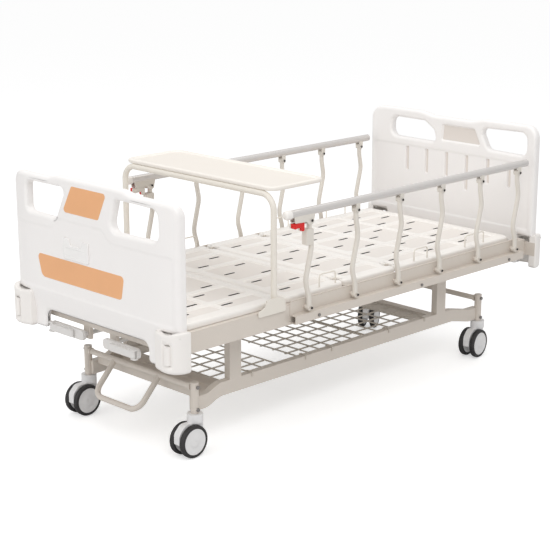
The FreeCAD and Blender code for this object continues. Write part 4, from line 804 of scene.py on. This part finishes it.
ROUNDED_EDGES = {"foot_left_bumper": 2, "foot_right_bumper": 2, "head_left_bumper": 2,
                 "head_right_bumper": 2, "base_end_arms": 1.5, "table_brackets": 1.5,
                 "back_crank": 2, "knee_crank": 2, "back_crank_grip": 5, "knee_crank_grip": 5,
                 "frame_bolts": 0.8}
for name, radius in ROUNDED_EDGES.items():
    bevel = nodes[name].modifiers.new("broken_edges", "BEVEL")
    bevel.width = radius * MM
    bevel.segments = 3
    bevel.limit_method = "ANGLE"
    bevel.angle_limit = math.radians(50)
    bevel.harden_normals = True


# Room, lights and camera

FLOOR_HALF = 30
FLOOR_LIFT = 0.47
SKY_LIGHT = 0.75
PHOTO_PIXELS = 550
FOCAL_PIXELS = 1483.47
FILM_WIDE = 36
CAMERA_SPOT = (-4.3394, -4.2648, 2.1057)
CAMERA_YAW, CAMERA_PITCH, CAMERA_ROLL = 45.276, -15.015, -0.063


def studio_floor():
    """A matt floor that the camera alone sees a little brighter, so that its shadow stays."""
    mesh = bpy.data.meshes.new("studio_floor")
    mesh.from_pydata([(-FLOOR_HALF, -FLOOR_HALF, 0), (FLOOR_HALF, -FLOOR_HALF, 0),
                      (FLOOR_HALF, FLOOR_HALF, 0), (-FLOOR_HALF, FLOOR_HALF, 0)], [],
                     [(0, 1, 2, 3)])
    floor = bpy.data.objects.new("studio_floor", mesh)
    bpy.context.scene.collection.objects.link(floor)
    made = bpy.data.materials.new("white_floor")
    made.use_nodes = True
    tree = made.node_tree
    tree.nodes.clear()
    path = add(tree, "LightPath")
    matt = add(tree, "BsdfDiffuse", Color=linear("#EDEDED"))
    lift = add(tree, "Math", {0: path.outputs["Is Camera Ray"]}, operation="MULTIPLY")
    lift.inputs[1].default_value = FLOOR_LIFT
    glow = add(tree, "Emission", {"Strength": lift.outputs[0]}, Color=(1, 1, 1, 1))
    both = add(tree, "AddShader", {0: matt.outputs[0], 1: glow.outputs[0]})
    add(tree, "OutputMaterial", {"Surface": both.outputs[0]})
    mesh.materials.append(made)


def studio_sky():
    """Even white light; the camera and reflections see a plain white room."""
    world = bpy.data.worlds.new("studio_sky")
    world.use_nodes = True
    bpy.context.scene.world = world
    tree = world.node_tree
    tree.nodes.clear()
    path = add(tree, "LightPath")
    seen = add(tree, "Math", {0: path.outputs["Is Camera Ray"], 1: path.outputs["Is Glossy Ray"]},
               operation="MAXIMUM")
    seen = add(tree, "Math", {0: seen.outputs[0], 1: path.outputs["Is Transmission Ray"]},
               operation="MAXIMUM")
    lit = add(tree, "Background", Strength=SKY_LIGHT)
    white = add(tree, "Background", Strength=1.0)
    both = add(tree, "MixShader", {0: seen.outputs[0], 1: lit.outputs[0], 2: white.outputs[0]})
    add(tree, "OutputWorld", {"Surface": both.outputs[0]})


def soft_box(name, spot, aim, size, watts):
    """A rectangular lamp at a spot that looks at an aim."""
    lamp = bpy.data.lights.new(name, "AREA")
    lamp.shape = "RECTANGLE"
    lamp.size, lamp.size_y = size
    lamp.energy = watts
    box = bpy.data.objects.new(name, lamp)
    box.location = spot
    box.rotation_euler = (Vector(aim) - Vector(spot)).to_track_quat("-Z", "Y").to_euler()
    bpy.context.scene.collection.objects.link(box)


def photo_camera():
    """The photograph's own view, found from the straight edges of the bed."""
    camera = bpy.data.cameras.new("photo_camera")
    camera.sensor_width = FILM_WIDE
    camera.lens = FOCAL_PIXELS * FILM_WIDE / PHOTO_PIXELS
    camera.clip_end = 100
    stand = bpy.data.objects.new("photo_camera", camera)
    yaw, pitch, roll = (math.radians(a) for a in (CAMERA_YAW, CAMERA_PITCH, CAMERA_ROLL))
    ahead = Vector((math.cos(yaw) * math.cos(pitch), math.sin(yaw) * math.cos(pitch),
                    math.sin(pitch)))
    turn = ahead.to_track_quat("-Z", "Y").to_matrix().to_4x4() @ Matrix.Rotation(roll, 4, "Z")
    stand.matrix_world = Matrix.Translation(CAMERA_SPOT) @ turn
    bpy.context.scene.collection.objects.link(stand)
    bpy.context.scene.camera = stand


studio_floor()
studio_sky()
soft_box("key_light", (-2.5, -3.5, 4.5), (0, 0, 0.5), (3, 3), 90)
soft_box("fill_light", (-5.0, 1.5, 3.0), (0, 0, 0.5), (3, 3), 45)
soft_box("top_light", (0.5, 0.5, 4.5), (0, 0, 0.3), (4, 2.5), 60)
photo_camera()
bpy.context.scene.view_settings.view_transform = "Standard"
